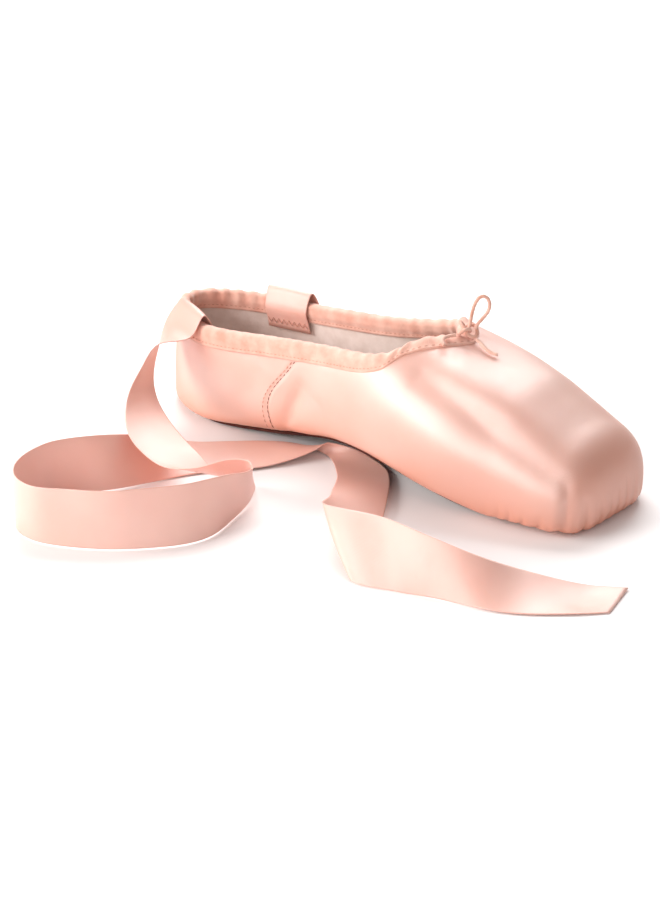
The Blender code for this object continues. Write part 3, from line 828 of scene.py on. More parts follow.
# %% [markdown]
# ## Sole and sock
#
# A pointe shoe's leather sole is narrower than the shoe, and a sock of board lies on the upper's
# turned-in margin inside. Both could be an outline with Solidify and Bevel, but they have to follow
# the arch. So both are sections across the last between two heights, closed at their rims.

# %% Sheets that follow the last
SOLE_SECTIONS = 90
SOLE_COLUMNS = 16
# The leather between two points of a sheet, for its UV map
SECTION_RUN = 0.0022
COLUMN_RUN = 0.0040
Sheet = namedtuple("Sheet", "start stop round_start round_stop margin bevel")
OUTSOLE = Sheet(BACK + 0.007, TIP - 0.030, 0.024, 0.030, 0.0065, 0.0006)
SOCK_BOARD = Sheet(BACK + 0.012, TIP - 0.018, 0.024, 0.030, 0.0090, 0.0006)
SOCK_THICKNESS = 0.0016


def slab(name, sheet, low, high):
    """A sheet between two heights, with its rim drawn in by the bevel."""
    rows = []
    middle, reach = (sheet.start + sheet.stop) / 2, (sheet.stop - sheet.start) / 2
    for k in range(1, SOLE_SECTIONS):
        x = middle - reach * math.cos(math.pi * k / SOLE_SECTIONS)
        heel = superellipse(1 - min((x - sheet.start) / sheet.round_start, 1), 2.0)
        toe = superellipse(1 - min((sheet.stop - x) / sheet.round_stop, 1), 2.4)
        full = smooth(LAST, "half", share_of(x)) * BALL_WIDTH / 2
        half = min(full * heel * toe, half_width(x)) - sheet.margin * heel * toe
        shrink = 1 - sheet.bevel / max(half, sheet.bevel * 2)
        inset = []
        for j in range(SOLE_COLUMNS):
            turn = math.pi / 2 * (2 * j / (SOLE_COLUMNS - 1) - 1)
            inset.append(half * math.sin(turn) * shrink)
        bottom = [Vector((x, y, low(x, y))) for y in inset]
        top = [Vector((x, y, high(x, y))) for y in reversed(inset)]
        edge = (low(x, half) + high(x, half)) / 2
        rim = [Vector((x, side * half, edge)) for side in (1, -1)]
        rows.append(bottom + rim[:1] + top + rim[1:] + bottom[:1])
    made = sheet_mesh(name, rows, uvs=lambda i, j: (i * SECTION_RUN, j * COLUMN_RUN))
    close_shell(made)
    return made


# %% The outsole and the sock
def build_soles():
    outsole = slab("leather_outsole", OUTSOLE, lambda x, y: sole_lift(x),
                   lambda x, y: sole_lift(x) + SOLE_THICKNESS)
    outsole.data.materials.append(SOLE)
    reach = LINED_WALL + 2 * CLEARANCE

    def low(x, y):
        step = WALL / 2
        rise_x = (low_height(x + step, y) - low_height(x - step, y)) / (2 * step)
        rise_y = (low_height(x, y + step) - low_height(x, y - step)) / (2 * step)
        return low_height(x, y) + reach * math.sqrt(1 + rise_x ** 2 + rise_y ** 2)

    sock = slab("board_sock", SOCK_BOARD, low, lambda x, y: low(x, y) + SOCK_THICKNESS)
    sock.data.materials.append(SOCK)
    for piece, name in ((outsole, "outsole"), (sock, "insole")):
        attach(piece, "root")
        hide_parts(name)
        print(name + ":", len(piece.data.polygons), "faces")


build_soles()

# %% [markdown]
# ## The ribbons
#
# Each ribbon is a flat woven strip, sewn inside the shoe. A curve with a flat profile could draw
# it, but its tilt is hard to set on a ribbon that folds, turns over and lies flat by turns. So its
# route is a row of rungs, each a straight line from one selvedge to the other. The first ones are
# tucked over the collar and the rest are free. The two edges are smoothed apart, and the strip
# between them is cupped a little, as satin ribbon is.
#
# A tuck's places are shares of the way round the collar, and its depths are in ribbon widths down
# the inside (above 0) or the outside (below 0). A rung's place is in shares of LENGTH, and its way
# over to the other selvedge in ribbon widths.

# %% Routes over the collar
Tuck = namedtuple("Tuck", "place down other_place other_down slack")
NEAR_TUCKS = (
    Tuck(0.667, 0.12, 0.667, 1.12, 0.00),
    Tuck(0.635, 0.12, 0.630, 1.12, 0.02),
    Tuck(0.612, 0.15, 0.600, 1.13, 0.05),
    Tuck(0.600, 0.17, 0.575, 1.08, 0.08),
    Tuck(0.592, 0.22, 0.556, 0.80, 0.12),
    Tuck(0.587, 0.16, 0.546, 0.42, 0.15),
    Tuck(0.585, 0.00, 0.541, 0.00, 0.13),
    Tuck(0.584, -0.18, 0.538, -0.18, 0.17),
)
FAR_TUCKS = (
    Tuck(0.373, 0.50, 0.419, 0.50, 0.00),
    Tuck(0.373, 0.30, 0.419, 0.30, 0.02),
    Tuck(0.373, 0.06, 0.419, 0.06, 0.05),
    Tuck(0.373, 0.00, 0.419, 0.00, 0.16),
    Tuck(0.373, -0.12, 0.419, -0.12, 0.08),
    Tuck(0.373, -0.60, 0.419, -0.60, 0.05),
    Tuck(0.373, -1.15, 0.419, -1.15, 0.12),
)
print("tucked rungs:", len(NEAR_TUCKS), "and", len(FAR_TUCKS))

# %% The free routes
Rung = namedtuple("Rung", "x y z over_x over_y over_z")
NEAR_RUNGS = (
    Rung(0.119, -0.200, 0.179, -0.60, 0.69, -0.40),
    Rung(0.135, -0.266, 0.153, -0.42, 0.81, -0.41),
    Rung(0.147, -0.309, 0.128, -0.22, 0.91, -0.35),
    Rung(0.171, -0.347, 0.106, 0.01, 0.96, -0.28),
    Rung(0.212, -0.385, 0.089, 0.35, 0.91, -0.21),
    Rung(0.258, -0.402, 0.072, 0.60, 0.78, -0.14),
    Rung(0.323, -0.414, 0.064, 0.43, 0.85, -0.30),
    Rung(0.382, -0.396, 0.072, 0.09, 0.86, -0.50),
    Rung(0.417, -0.357, 0.083, -0.15, 0.66, -0.73),
    Rung(0.447, -0.336, 0.083, -0.33, 0.57, -0.74),
    Rung(0.472, -0.351, 0.081, -0.42, 0.50, -0.74),
    Rung(0.483, -0.385, 0.087, -0.30, 0.40, -0.80),
    Rung(0.485, -0.425, 0.098, -0.14, 0.20, -0.92),
    Rung(0.479, -0.471, 0.104, 0.08, -0.08, -0.97),
    Rung(0.460, -0.515, 0.104, 0.14, -0.16, -0.97),
    Rung(0.417, -0.572, 0.104, 0.12, -0.16, -0.97),
    Rung(0.376, -0.618, 0.104, 0.05, -0.12, -0.97),
    Rung(0.315, -0.655, 0.104, 0.02, -0.10, -0.97),
    Rung(0.264, -0.680, 0.104, 0.00, 0.00, -0.97),
    Rung(0.215, -0.670, 0.104, 0.00, 0.00, -0.97),
    Rung(0.176, -0.634, 0.104, 0.00, 0.00, -0.97),
    Rung(0.154, -0.577, 0.104, 0.00, 0.00, -0.97),
    Rung(0.157, -0.513, 0.104, 0.06, -0.06, -0.97),
    Rung(0.196, -0.418, 0.094, 0.25, -0.25, -0.87),
    Rung(0.191, -0.303, 0.051, 0.70, -0.50, -0.465),
    Rung(0.224, -0.221, 0.021, 0.72, -0.66, -0.17),
    Rung(0.266, -0.174, 0.017, 0.70, -0.70, -0.12),
    Rung(0.306, -0.128, 0.013, 0.68, -0.66, -0.07),
    Rung(0.349, -0.098, 0.011, 0.55, -0.45, 0.02),
    Rung(0.385, -0.083, 0.006, 0.34, -0.26, 0.14),
    Rung(0.418, -0.085, 0.003, 0.10, -0.02, 0.24),
    Rung(0.447, -0.100, 0.004, 0.16, 0.36, 0.14),
    Rung(0.475, -0.125, 0.006, 0.36, 0.60, 0.04),
    Rung(0.515, -0.170, 0.011, 0.53, 0.75, -0.02),
    Rung(0.583, -0.272, 0.038, 0.63, 0.70, -0.25),
    Rung(0.626, -0.332, 0.062, 0.92, 0.05, -0.50),
    Rung(0.665, -0.393, 0.081, 1.08, -0.72, -0.75),
    Rung(0.787, -0.389, 0.089, 0.72, -0.66, -0.83),
    Rung(0.879, -0.393, 0.085, 0.48, -0.43, -0.79),
    Rung(0.966, -0.370, 0.064, 0.42, -0.52, -0.58),
    Rung(1.026, -0.317, 0.034, 0.45, -0.78, -0.30),
    Rung(1.098, -0.258, 0.009, 0.38, -0.88, -0.05),
    Rung(1.157, -0.214, 0.0035, 0.23, -0.89, -0.01),
)
FAR_RUNGS = (
    Rung(0.245, 0.150, 0.0160, -1.00, 0.00, 0.00),
    Rung(0.245, 0.156, 0.0048, -1.00, 0.00, 0.00),
    Rung(0.249, 0.271, 0.0032, -0.97, -0.97, 0.00),
    Rung(0.245, 0.276, 0.0105, -1.00, -1.00, 0.00),
    Rung(0.249, 0.271, 0.0175, -1.00, -1.00, 0.00),
    Rung(0.285, 0.274, 0.0175, 0.00, -1.00, 0.02),
    Rung(0.360, 0.278, 0.0140, 0.00, -1.00, 0.02),
    Rung(0.480, 0.280, 0.0070, 0.00, -1.00, 0.00),
    Rung(0.600, 0.282, 0.0040, 0.00, -1.00, 0.00),
    Rung(0.660, 0.284, 0.0060, 0.00, -1.00, 0.00),
    Rung(0.690, 0.286, 0.0200, 0.00, -1.00, 0.00),
    Rung(0.680, 0.290, 0.0360, 0.03, -1.00, 0.00),
    Rung(0.640, 0.296, 0.0380, 0.06, -1.00, 0.00),
    Rung(0.560, 0.306, 0.0260, 0.10, -0.99, 0.00),
    Rung(0.460, 0.320, 0.0200, 0.14, -0.99, 0.00),
    Rung(0.380, 0.334, 0.0260, 0.17, -0.98, 0.00),
    Rung(0.310, 0.348, 0.0280, 0.19, -0.98, 0.00),
)
print("free rungs:", len(NEAR_RUNGS), "and", len(FAR_RUNGS))

# %% Rungs on the wall
COARSE_RIBS = 96
COARSE_POINTS = 14
TUCK_GAP = 0.0003


def wall_lines():
    """The wall's two faces as in the CAD source, with as many ribs as it has."""
    every = RIBS // COARSE_RIBS
    base = [resample(line, COARSE_POINTS) for line in RIB_LINES[::every]]
    normals = grid_normals(base)
    inner = [[p - n * WALL for p, n in zip(line, row)] for line, row in zip(base, normals)]
    return base, inner


WALL_OUT, WALL_IN = wall_lines()


def on_wall(surface, place, down):
    """The point of a face at a place round the collar and a length down from it."""
    number = place * COARSE_RIBS
    ends = []
    for rib_number in (math.floor(number), math.ceil(number)):
        line = surface[rib_number % COARSE_RIBS]
        left, end = max(down, 0), line[-1]
        for a, b in zip(line, line[1:]):
            step = (b - a).length
            if left <= step:
                end = a.lerp(b, left / step)
                break
            left -= step
        ends.append(end)
    return ends[0].lerp(ends[1], number - math.floor(number))


def tucked(place, down, slack):
    top = (on_wall(WALL_OUT, place, 0) + on_wall(WALL_IN, place, 0)) / 2
    away = (on_wall(WALL_OUT, place, 0) - on_wall(WALL_IN, place, 0)).normalized()
    gap = BINDING_THICKNESS + 2 * CLEARANCE + TUCK_GAP + slack * RIBBON_WIDTH
    if down == 0:
        return top + Vector((0, 0, gap + BINDING_THICKNESS / 2))
    if down > 0:
        return on_wall(WALL_IN, place, down * RIBBON_WIDTH) - away * (gap + LINING_CLOTH)
    return on_wall(WALL_OUT, place, -down * RIBBON_WIDTH) + away * gap


print("wall lines:", len(WALL_OUT))

# %% [markdown]
# ### From rungs to cloth
#
# A Catmull-Rom curve is drawn through each selvedge's points, with its steps weighed by their
# lengths, so that rungs which stand close together don't make it loop. The Solidify modifier then
# gives the strip its thickness, and it may do so here, as a ribbon's two faces are the same.

# %% Two edges and a strip
RIBBON_STEP = 0.0022
RIBBON_ACROSS = 11
CUP_TURNS = 22
# The first and the last lines of a strip, over which the cup grows from nothing
CUP_START = 12
CUP_STOP = 6


def through(points, t):
    """A smooth curve between the second and the third of four points."""
    p, a, b, q = points
    span = max((b - a).length, 1e-6)
    lead = (b - p) * (span / max((b - a).length + (a - p).length, 1e-6))
    tail = (q - a) * (span / max((q - b).length + (b - a).length, 1e-6))
    return (a * (2 * t ** 3 - 3 * t ** 2 + 1) + lead * (t ** 3 - 2 * t ** 2 + t)
            + b * (3 * t ** 2 - 2 * t ** 3) + tail * (t ** 3 - t ** 2))


def ribbon_lines(tucks, rows):
    rungs = []
    for t in tucks:
        other = tucked(t.other_place, t.other_down, t.slack)
        rungs.append((tucked(t.place, t.down, t.slack), other))
    for row in rows:
        edge = Vector((station(row.x), row.y * LENGTH, row.z * LENGTH))
        over = Vector((row.over_x, row.over_y, row.over_z)) * RIBBON_WIDTH
        rungs.append((edge, edge + over))
    lines = []
    for k in range(len(rungs) - 1):
        steps = [rungs[max(k - 1, 0)], rungs[k], rungs[k + 1], rungs[min(k + 2, len(rungs) - 1)]]
        longest = max((rungs[k + 1][e] - rungs[k][e]).length for e in (0, 1))
        count = max(2, round(longest / RIBBON_STEP))
        for n in range(count):
            lines.append([through([rung[e] for rung in steps], n / count) for e in (0, 1)])
    lines.append(list(rungs[-1]))
    return lines


def build_ribbon(name, node_name, tucks, rows, cup):
    """The strip between the two edges, cupped, with its lines closer together at the selvedges."""
    lines = ribbon_lines(tucks, rows)
    strip, runs = [], [0.0]
    for k, (a, b) in enumerate(lines):
        before, after = lines[max(k - 1, 0)], lines[min(k + 1, len(lines) - 1)]
        forward = (after[0] + after[1]) - (before[0] + before[1])
        face = forward.cross(b - a)
        face = face.normalized() if face.length > 1e-12 else Vector((0, 0, 1))
        room = min(1.0, k / CUP_START, (len(lines) - 1 - k) / CUP_STOP)
        wave = noise.noise(Vector((runs[-1] * CUP_TURNS, cup * 900, 0)))
        row = []
        for j in range(RIBBON_ACROSS):
            t = 0.5 - 0.5 * math.cos(math.pi * j / (RIBBON_ACROSS - 1))
            p = a.lerp(b, t)
            p = p + face * (cup * room * math.sin(math.pi * t) * wave)
            p.z = max(p.z, RIBBON_THICKNESS)
            row.append(p)
        strip.append(row)
        if k + 1 < len(lines):
            nxt = lines[k + 1]
            runs.append(runs[-1] + ((nxt[0] + nxt[1]) / 2 - (a + b) / 2).length)
    made = sheet_mesh(name, strip,
                      uvs=lambda i, j: (runs[i], RIBBON_WIDTH * j / (RIBBON_ACROSS - 1)))
    made.data.materials.append(RIBBON_FACE)
    solid = made.modifiers.new("cloth", "SOLIDIFY")
    solid.thickness = RIBBON_THICKNESS
    solid.offset = 0
    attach(made, "root")
    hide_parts(node_name)
    return strip


build_ribbon("ribbon_loops", "ribbon_near", NEAR_TUCKS, NEAR_RUNGS, 0.0016)
FAR_STRIP = build_ribbon("ribbon_behind", "ribbon_far", FAR_TUCKS, FAR_RUNGS, 0.0010)

# %% [markdown]
# ## Stitches and seams
#
# A sewn thread comes up out of the cloth, lies on it for a stitch and sinks back. So each stitch is
# a small arched tube with both ends under the surface. Hundreds of them could be bevelled curves,
# but Geometry Nodes suit what repeats: the tree below bends one cylinder into a stitch and sets a
# copy on every point, turned and stretched by two directions that the point carries.

# %% A tree that sews
STITCH_THICKNESS = 0.00034
SEAM_THICKNESS = 0.00042
STITCH_SIDES = 5
STITCH_STEPS = 4
ARCH_HEIGHT = 0.75
ARCH_SUNK = 0.25
TAPER = 0.6


def stitch_tree():
    """A tree that sets a stitch on each point, along its `way` and standing off its `face`."""
    tree = bpy.data.node_groups.new("stitches", "GeometryNodeTree")
    for name, side, kind in (
            ("Places", "INPUT", "Geometry"), ("Thickness", "INPUT", "Float"),
            ("Sides", "INPUT", "Int"), ("Steps", "INPUT", "Int"), ("Thread", "INPUT", "Material"),
            ("Stitches", "OUTPUT", "Geometry")):
        tree.interface.new_socket(name, in_out=side, socket_type="NodeSocket" + kind)
    given = node(tree, "NodeGroupInput").outputs
    tube = node(tree, "GeometryNodeMeshCylinder", {
        "Vertices": given["Sides"], "Side Segments": given["Steps"], "Radius": 0.5,
        "Depth": 1.0}, fill_type="NGON").outputs["Mesh"]
    # The cylinder's height becomes the stitch's length from 0 to 1, and a sine bends it
    place = node(tree, "GeometryNodeInputPosition").outputs[0]
    at = node(tree, "ShaderNodeSeparateXYZ", {0: place}).outputs
    along = node(tree, "ShaderNodeMath", {0: at[2], 1: 0.5}, operation="ADD").outputs[0]
    turn = node(tree, "ShaderNodeMath", {0: along, 1: math.pi}, operation="MULTIPLY").outputs[0]
    arch = node(tree, "ShaderNodeMath", {0: turn}, operation="SINE").outputs[0]
    girth = node(tree, "ShaderNodeMath", {0: arch, 1: 1 - TAPER, 2: TAPER},
                 operation="MULTIPLY_ADD").outputs[0]
    lift = node(tree, "ShaderNodeMath", {0: arch, 1: ARCH_HEIGHT, 2: -ARCH_SUNK},
                operation="MULTIPLY_ADD").outputs[0]
    mirrored = node(tree, "ShaderNodeMath", {0: girth, 1: -1.0}, operation="MULTIPLY").outputs[0]
    aside = node(tree, "ShaderNodeMath", {0: at[0], 1: mirrored}, operation="MULTIPLY").outputs[0]
    above = node(tree, "ShaderNodeMath", {0: at[1], 1: girth, 2: lift},
                 operation="MULTIPLY_ADD").outputs[0]
    bent = node(tree, "ShaderNodeCombineXYZ", {0: along, 1: aside, 2: above}).outputs[0]
    stitch = node(tree, "GeometryNodeSetPosition", {"Geometry": tube, "Position": bent}).outputs[0]
    # The mirroring turned its faces inwards
    stitch = node(tree, "GeometryNodeFlipFaces", {"Mesh": stitch}).outputs[0]
    stitch = node(tree, "GeometryNodeSetShadeSmooth", {"Geometry": stitch}).outputs[0]
    way, face = (node(tree, "GeometryNodeInputNamedAttribute", {"Name": name},
                      data_type="FLOAT_VECTOR").outputs["Attribute"] for name in ("way", "face"))
    turned = node(tree, "FunctionNodeAxesToRotation", {0: way, 1: face},
                  primary_axis="X", secondary_axis="Z").outputs[0]
    length = node(tree, "ShaderNodeVectorMath", {0: way}, operation="LENGTH").outputs["Value"]
    size = node(tree, "ShaderNodeCombineXYZ", {
        0: length, 1: given["Thickness"], 2: given["Thickness"]}).outputs[0]
    copies = node(tree, "GeometryNodeInstanceOnPoints", {
        "Points": given["Places"], "Instance": stitch, "Rotation": turned,
        "Scale": size}).outputs[0]
    sewn = node(tree, "GeometryNodeRealizeInstances", {"Geometry": copies}).outputs[0]
    sewn = node(tree, "GeometryNodeSetMaterial", {
        "Geometry": sewn, "Material": given["Thread"]}).outputs[0]
    node(tree, "NodeGroupOutput", {"Stitches": sewn})
    return tree


STITCHES = stitch_tree()
print("nodes in the stitch tree:", len(STITCHES.nodes))


# %% Sewing one row
def sew(name, runs, thread, thickness=STITCH_THICKNESS):
    """Stitches from a to b on a face with a normal, for each (a, b, normal), as one plain mesh."""
    data = bpy.data.meshes.new(name)
    data.from_pydata([tuple(a) for a, _, _ in runs], [], [])
    directions = {"way": [b - a for a, b, _ in runs], "face": [normal for _, _, normal in runs]}
    for label, vectors in directions.items():
        layer = data.attributes.new(label, "FLOAT_VECTOR", "POINT")
        layer.data.foreach_set("vector", [value for vector in vectors for value in vector])
    row = link(bpy.data.objects.new(name, data))
    sewing = row.modifiers.new("stitches", "NODES")
    sewing.node_group = STITCHES
    given = {"Thickness": thickness, "Sides": STITCH_SIDES, "Steps": STITCH_STEPS, "Thread": thread}
    for item in STITCHES.interface.items_tree:
        if item.name in given:
            sewing[item.identifier] = given[item.name]
    evaluated = row.evaluated_get(bpy.context.evaluated_depsgraph_get())
    plain = bpy.data.meshes.new_from_object(evaluated)
    # The copies bring along an empty first slot and the points' directions
    plain.materials.pop(index=0)
    for label in directions:
        plain.attributes.remove(plain.attributes[label])
    row.modifiers.clear()
    row.data = plain
    bpy.data.meshes.remove(data)
    plain.name = name
    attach(row, "root")
    print(name + ":", len(runs), "stitches")


# %% [markdown]
# ### Where the stitches go
#
# One row holds the tape on each face, a dark thread fills each side seam's furrow as painted shade
# for its shadow, with a row of stitches behind it, and a zigzag hems the far ribbon's sewn end.
# Python's loops choose these places, since they lie on surfaces that the script has already worked
# out.

# %% The tape's stitches
TAPE_STITCH = 3
TAPE_PITCH = 5
TAPE_HEM = 0.6


def tape_stitches():
    """A row of stitches near both hems of the tape."""
    runs = []
    for k in range(0, TAPE_ROUND, TAPE_PITCH):
        a, b = TAPE_ROWS[k], TAPE_ROWS[(k + TAPE_STITCH) % TAPE_ROUND]
        normal = between(LEG_NORMALS, SPOTS[k], TAPE_LEG - 3).normalized()
        # A row has the outer hem, one leg upwards, the cap, the other leg down and the inner hem
        inner = 1 + TAPE_LEG + CAP_POINTS + TAPE_LEG - 3
        runs.append((a[2].lerp(a[3], TAPE_HEM), b[2].lerp(b[3], TAPE_HEM), normal))
        runs.append((a[inner], b[inner], -normal))
    sew("thread_tape", runs, THREAD)


tape_stitches()


# %% The side seams' stitches
SEAM_PITCH = 0.0021
SEAM_STITCH = 0.0014
SEAM_START = 0.0058
SEAM_TOP = 0.36
# How far behind the seam its stitches run, below and at the collar
GAP_LOW = 0.0036
GAP_LOSS = 0.0024


def on_side(x, z, side):
    """The upper's outer face at a length and a height, on the near side (-1) or the far one (1)."""
    for a, b in zip(OUTER, OUTER[1:]):
        p, q = a[GIRTH_POINT], b[GIRTH_POINT]
        if p.y * side > 0 and (p.x - x) * (q.x - x) <= 0 and p.x != q.x:
            share = (x - p.x) / (q.x - p.x)
            line = [p.lerp(q, share) for p, q in zip(a, b)]
            for p, q in zip(line, line[1:]):
                if p.z >= z > q.z:
                    return p.lerp(q, (p.z - z) / (p.z - q.z))
            return line[0] if z > line[0].z else line[-1]
    return Vector((x, 0, z))


def side_normal(x, z, side):
    reach = 0.0015
    along = on_side(x + reach, z, side) - on_side(x - reach, z, side)
    rise = on_side(x, z + reach, side) - on_side(x, z - reach, side)
    return (along.cross(rise) * -side).normalized()


def seam_stitches():
    """The dark thread in each side seam's furrow, painted shade for its shadow, and the row of
    stitches behind it.
    """
    seam, row = [], []
    for side in (-1, 1):
        z = SEAM_START
        top = smooth(COLLAR, "height", SEAM_TOP) * CROWN_HEIGHT - BINDING_WIDTH
        while z < top - SEAM_PITCH:
            nxt = z + SEAM_PITCH
            a, b = on_side(seam_place(z), z, side), on_side(seam_place(nxt), nxt, side)
            seam.append((a, b, side_normal(seam_place(z), z, side)))
            gap = GAP_LOW - GAP_LOSS * (z / top)
            stop = z + SEAM_STITCH
            a = on_side(seam_place(z) - gap, z, side)
            b = on_side(seam_place(stop) - gap, stop, side)
            row.append((a, b, side_normal(seam_place(z) - gap, z, side)))
            z = nxt
    # The seam's thread is painted shade, dark for the furrow's shadow
    sew("thread_seam", seam, SEAM_THREAD_AND_SHADE, SEAM_THICKNESS)
    sew("thread_topstitch", row, THREAD)


seam_stitches()


# %% The hem's zigzag
HEM_HEIGHT = 0.0026
HEM_STITCHES = 15


def hem_zigzag():
    """The zigzag over the far ribbon's sewn end."""
    runs = []
    low, high = FAR_STRIP[1], FAR_STRIP[2]
    hem = (high[0] - low[0]).normalized() * HEM_HEIGHT
    edge = low[0], low[-1]
    face = (edge[1] - edge[0]).cross(hem).normalized()
    if face.dot(edge[0].lerp(edge[1], 0.5) - Vector((edge[0].x, 0, edge[0].z))) > 0:
        face = -face
    for k in range(HEM_STITCHES):
        a = edge[0].lerp(edge[1], (k + 0.5) / (HEM_STITCHES + 1)) + face * RIBBON_THICKNESS
        b = edge[0].lerp(edge[1], (k + 1.5) / (HEM_STITCHES + 1)) + face * RIBBON_THICKNESS
        runs.append((a + hem, b, face) if k % 2 else (a, b + hem, face))
    sew("thread_zigzag", runs, THREAD)


hem_zigzag()

# %% [markdown]
# ## The drawstring
#
# A cotton cord runs inside the tape and comes out at the point of the throat, tied in a bow of one
# loop and two short ends. A curve with a round bevel would be smooth, and a cord isn't: it is three
# strands laid together. So each piece is a tube whose section has three lobes that turn on the way.
#
# The loop's points are in BOW_SIZE from the knot's middle. The ends lie on the vamp, with their
# lifts in cord thicknesses.

# %% Routes of the bow
Point = namedtuple("Point", "x y z")
# The loop's two legs start inside the knot, where the CAD cord keeps a gap from it
LOOP = (
    Point(0.06, 0.02, 0.04),
    Point(0.09, 0.05, 0.19),
    Point(0.14, 0.10, 0.62),
    Point(0.21, 0.16, 0.97),
    Point(0.33, 0.26, 1.25),
    Point(0.47, 0.36, 1.33),
    Point(0.60, 0.47, 1.23),
    Point(0.66, 0.51, 0.97),
    Point(0.60, 0.47, 0.70),
    Point(0.46, 0.35, 0.45),
    Point(0.31, 0.20, 0.19),
    Point(0.27, 0.16, 0.04),
)
Lying = namedtuple("Lying", "x y lift")
END_TOE = (
    Lying(0.52, -0.08, 1.90),
    Lying(0.75, -0.12, 1.60),
    Lying(0.98, -0.18, 1.20),
    Lying(1.22, -0.20, 1.00),
    Lying(1.50, -0.12, 1.00),
)
END_SIDE = (
    Lying(-0.14, -0.52, 2.10),
    Lying(-0.30, -0.72, 1.90),
    Lying(-0.36, -0.94, 1.90),
    Lying(-0.30, -1.14, 1.95),
    Lying(-0.12, -1.28, 1.75),
)
print("route points:", len(LOOP), len(END_TOE), len(END_SIDE))

# %% A twisted cord
CORD_SIDES = 18
CORD_STRANDS = 3
CORD_LAY = 0.0022
STRAND_DEPTH = 0.14
# The cord between two points along it and round it, for its UV map
CORD_RUN = 0.0004
CORD_ROUND = 0.0003


def curved(points, steps=8):
    """A smooth line through a few points."""
    line, last = [], len(points) - 1
    for k in range(last):
        four = [points[max(k - 1, 0)], points[k], points[k + 1], points[min(k + 2, last)]]
        line += [through(four, n / steps) for n in range(steps)]
    return line + [points[-1]]


def cord_tube(name, points, closed=False):
    """A cord of three twisted strands round its route, as one mesh tube."""
    rows, runs = [], [0.0]
    side = Vector((0, 0, 1)).cross(points[1] - points[0])
    side = side.normalized() if side.length > 1e-9 else Vector((1, 0, 0))
    count = len(points)
    for k, p in enumerate(points):
        before = points[k - 1] if closed or k else points[0]
        after = points[(k + 1) % count] if closed or k + 1 < count else points[-1]
        way = (after - before).normalized()
        side = (side - way * side.dot(way)).normalized()
        other = way.cross(side)
        row = []
        for j in range(CORD_SIDES + 1):
            angle = 2 * math.pi * j / CORD_SIDES
            twist = runs[-1] / CORD_LAY * 2 * math.pi
            strand = 0.5 + 0.5 * math.cos(CORD_STRANDS * angle + twist)
            radius = CORD_THICKNESS / 2 * (1 - STRAND_DEPTH + STRAND_DEPTH * strand)
            row.append(p + (side * math.cos(angle) + other * math.sin(angle)) * radius)
        rows.append(row)
        if k + 1 < count:
            runs.append(runs[-1] + (points[k + 1] - p).length)
    made = sheet_mesh(name, rows, closed=closed,
                      uvs=lambda i, j: (i * CORD_RUN, j * CORD_ROUND))
    close_shell(made)
    made.data.materials.append(CORD)
    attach(made, "root")
    return made, runs[-1]


# %% The knot, the loop and the two ends
KNOT_POINTS = 120
KNOT_LOBE = 0.13
KNOT_DEPTH = 0.16
KNOT_FORWARD = 0.30
KNOT_LIFT = 2.85


def build_drawstring():
    throat = BASE[0][0]
    x, y = throat.x + KNOT_FORWARD * BOW_SIZE, throat.y
    middle = Vector((x, y, top_height(x, y) + KNOT_LIFT * CORD_THICKNESS))
    slope = (top_height(x + BOW_SIZE, y) - top_height(x, y)) / BOW_SIZE
    # A trefoil: the simplest knot that closes on itself
    knot = []
    for k in range(KNOT_POINTS):
        t = 2 * math.pi * k / KNOT_POINTS
        a = (math.sin(t) + 2 * math.sin(2 * t)) * KNOT_LOBE * BOW_SIZE
        b = (math.cos(t) - 2 * math.cos(2 * t)) * KNOT_LOBE * BOW_SIZE
        knot.append(middle + Vector((a, b, a * slope - math.sin(3 * t) * KNOT_DEPTH * BOW_SIZE)))
    tied, _ = cord_tube("cord_knot", knot, closed=True)
    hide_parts("drawstring_knot")
    route = curved([middle + Vector(p) * BOW_SIZE for p in LOOP])
    loop, length = cord_tube("cord_loop", route)
    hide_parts("drawstring_loop")
    for name, rows in (("drawstring_end_a", END_TOE), ("drawstring_end_b", END_SIDE)):
        line = []
        for row in rows:
            at = middle + Vector((row.x, row.y, 0)) * BOW_SIZE
            line.append(Vector((at.x, at.y, top_height(at.x, at.y) + row.lift * CORD_THICKNESS)))
        end, _ = cord_tube("cord_" + name[-5:], curved(line))
        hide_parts(name)
    print("loop, m long:", round(length, 4))
    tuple(route[0])


build_drawstring()

# %% [markdown]
# ## Stage, light and camera
#
# Satin shows its form mostly by what it reflects, so the lights matter as much as its colour. A
# picture of a room could light it. Three soft lamps over a pale floor are used instead, since each
# highlight can then be moved alone: a window above and behind, a strong one at the left in front
# and a weak one at the right.

# %% Floor
FLOOR_HALF = 3.0


def build_floor():
    data = bpy.data.meshes.new("floor")
    corners = [(x * FLOOR_HALF, y * FLOOR_HALF, 0) for x, y in ((-1, -1), (1, -1), (1, 1), (-1, 1))]
    data.from_pydata(corners, [], [(0, 1, 2, 3)])
    floor = link(bpy.data.objects.new("floor", data))
    material, tree = new_material("floor_paper")
    shader = node(tree, "ShaderNodeBsdfPrincipled", {
        "Base Color": colour("#FBF9F9"), "Roughness": 0.55, "Specular IOR Level": 0.25})
    finish_material(tree, shader)
    data.materials.append(material)
    print("floor, m wide:", 2 * FLOOR_HALF)


build_floor()

# %% Lamps
Lamp = namedtuple("Lamp", "name at target size watts tint")
LAMPS = (
    Lamp("window", (-0.32, 0.60, 0.92), (0.08, 0.0, 0.02), (0.9, 0.7), 16.0, "#FFFFFF"),
    Lamp("front", (-0.62, -0.84, 0.52), (0.08, 0.0, 0.03), (0.9, 0.45), 14.5, "#FFFAF7"),
    Lamp("fill", (0.40, -1.15, 0.42), (0.08, 0.0, 0.03), (0.8, 0.4), 5.0, "#FFF7F3"),
)
ROOM_COLOUR = "#FFFDFC"
ROOM_STRENGTH = 0.38


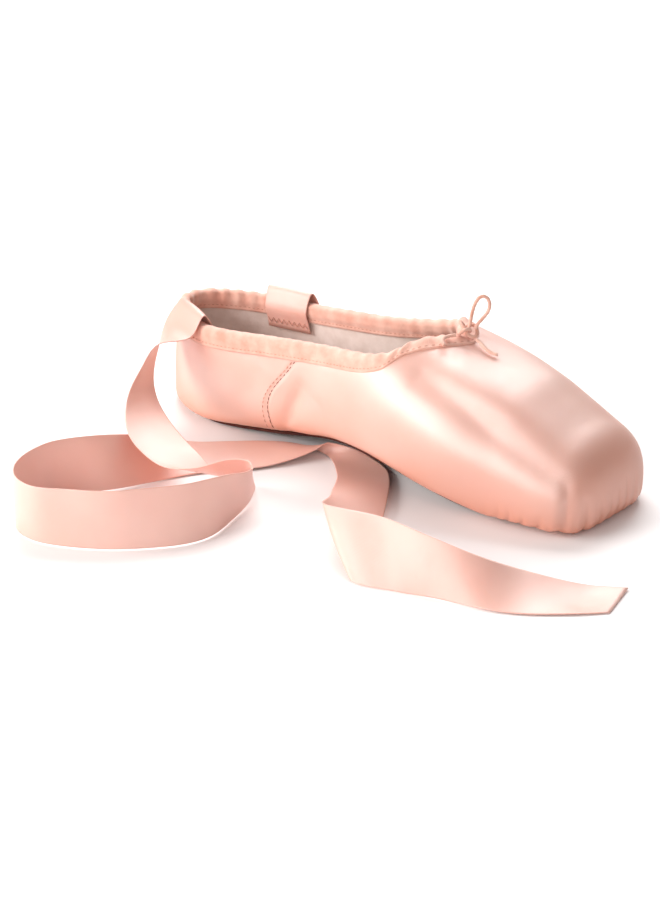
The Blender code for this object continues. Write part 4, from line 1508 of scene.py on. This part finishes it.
def build_lamp(lamp):
    data = bpy.data.lights.new(lamp.name, "AREA")
    data.shape = "RECTANGLE"
    data.size, data.size_y = lamp.size
    data.energy = lamp.watts
    data.color = colour(lamp.tint)[:3]
    made = link(bpy.data.objects.new(lamp.name, data))
    made.location = lamp.at
    aim = Vector(lamp.target) - Vector(lamp.at)
    made.rotation_euler = aim.to_track_quat("-Z", "Y").to_euler()


def build_light():
    world = bpy.data.worlds.new("room")
    world.use_nodes = True
    room = world.node_tree.nodes["Background"].inputs
    room[0].default_value = colour(ROOM_COLOUR)
    room[1].default_value = ROOM_STRENGTH
    bpy.context.scene.world = world
    for lamp in LAMPS:
        build_lamp(lamp)
    print("lamps:", len(LAMPS))


build_light()

# %% [markdown]
# The camera was found from the shoe's outline in the photograph: the angles and the distance that
# put the modelled last's outline over it. It looks along `back`, with a long lens from 1.15 m.

# %% Camera
AZIMUTH = 38.51
ELEVATION = 23.22
ROLL = -0.19
DISTANCE = 1.1475
TARGET = (0.0841, -0.0296, 0.0085)
LENS = 148.0
EXPOSURE = -0.12


def build_camera():
    azimuth, elevation, roll = (math.radians(v) for v in (AZIMUTH, ELEVATION, ROLL))
    level = math.cos(elevation)
    back = Vector((math.sin(azimuth) * level, -math.cos(azimuth) * level, math.sin(elevation)))
    right = Vector((math.cos(azimuth), math.sin(azimuth), 0))
    up = back.cross(right)
    turned = right * math.cos(roll) + up * math.sin(roll)
    up = up * math.cos(roll) - right * math.sin(roll)
    data = bpy.data.cameras.new("camera")
    data.sensor_fit = "HORIZONTAL"
    data.sensor_width = 36.0
    data.lens = LENS
    data.clip_start, data.clip_end = 0.05, 20.0
    camera = link(bpy.data.objects.new("camera", data))
    spot = Vector(TARGET) + back * DISTANCE
    camera.matrix_world = Matrix((
        (turned.x, up.x, back.x, spot.x), (turned.y, up.y, back.y, spot.y),
        (turned.z, up.z, back.z, spot.z), (0, 0, 0, 1)))
    scene = bpy.context.scene
    scene.camera = camera
    scene.view_settings.view_transform = "Standard"
    scene.view_settings.exposure = EXPOSURE


build_camera()
print("camera, m away:", DISTANCE)
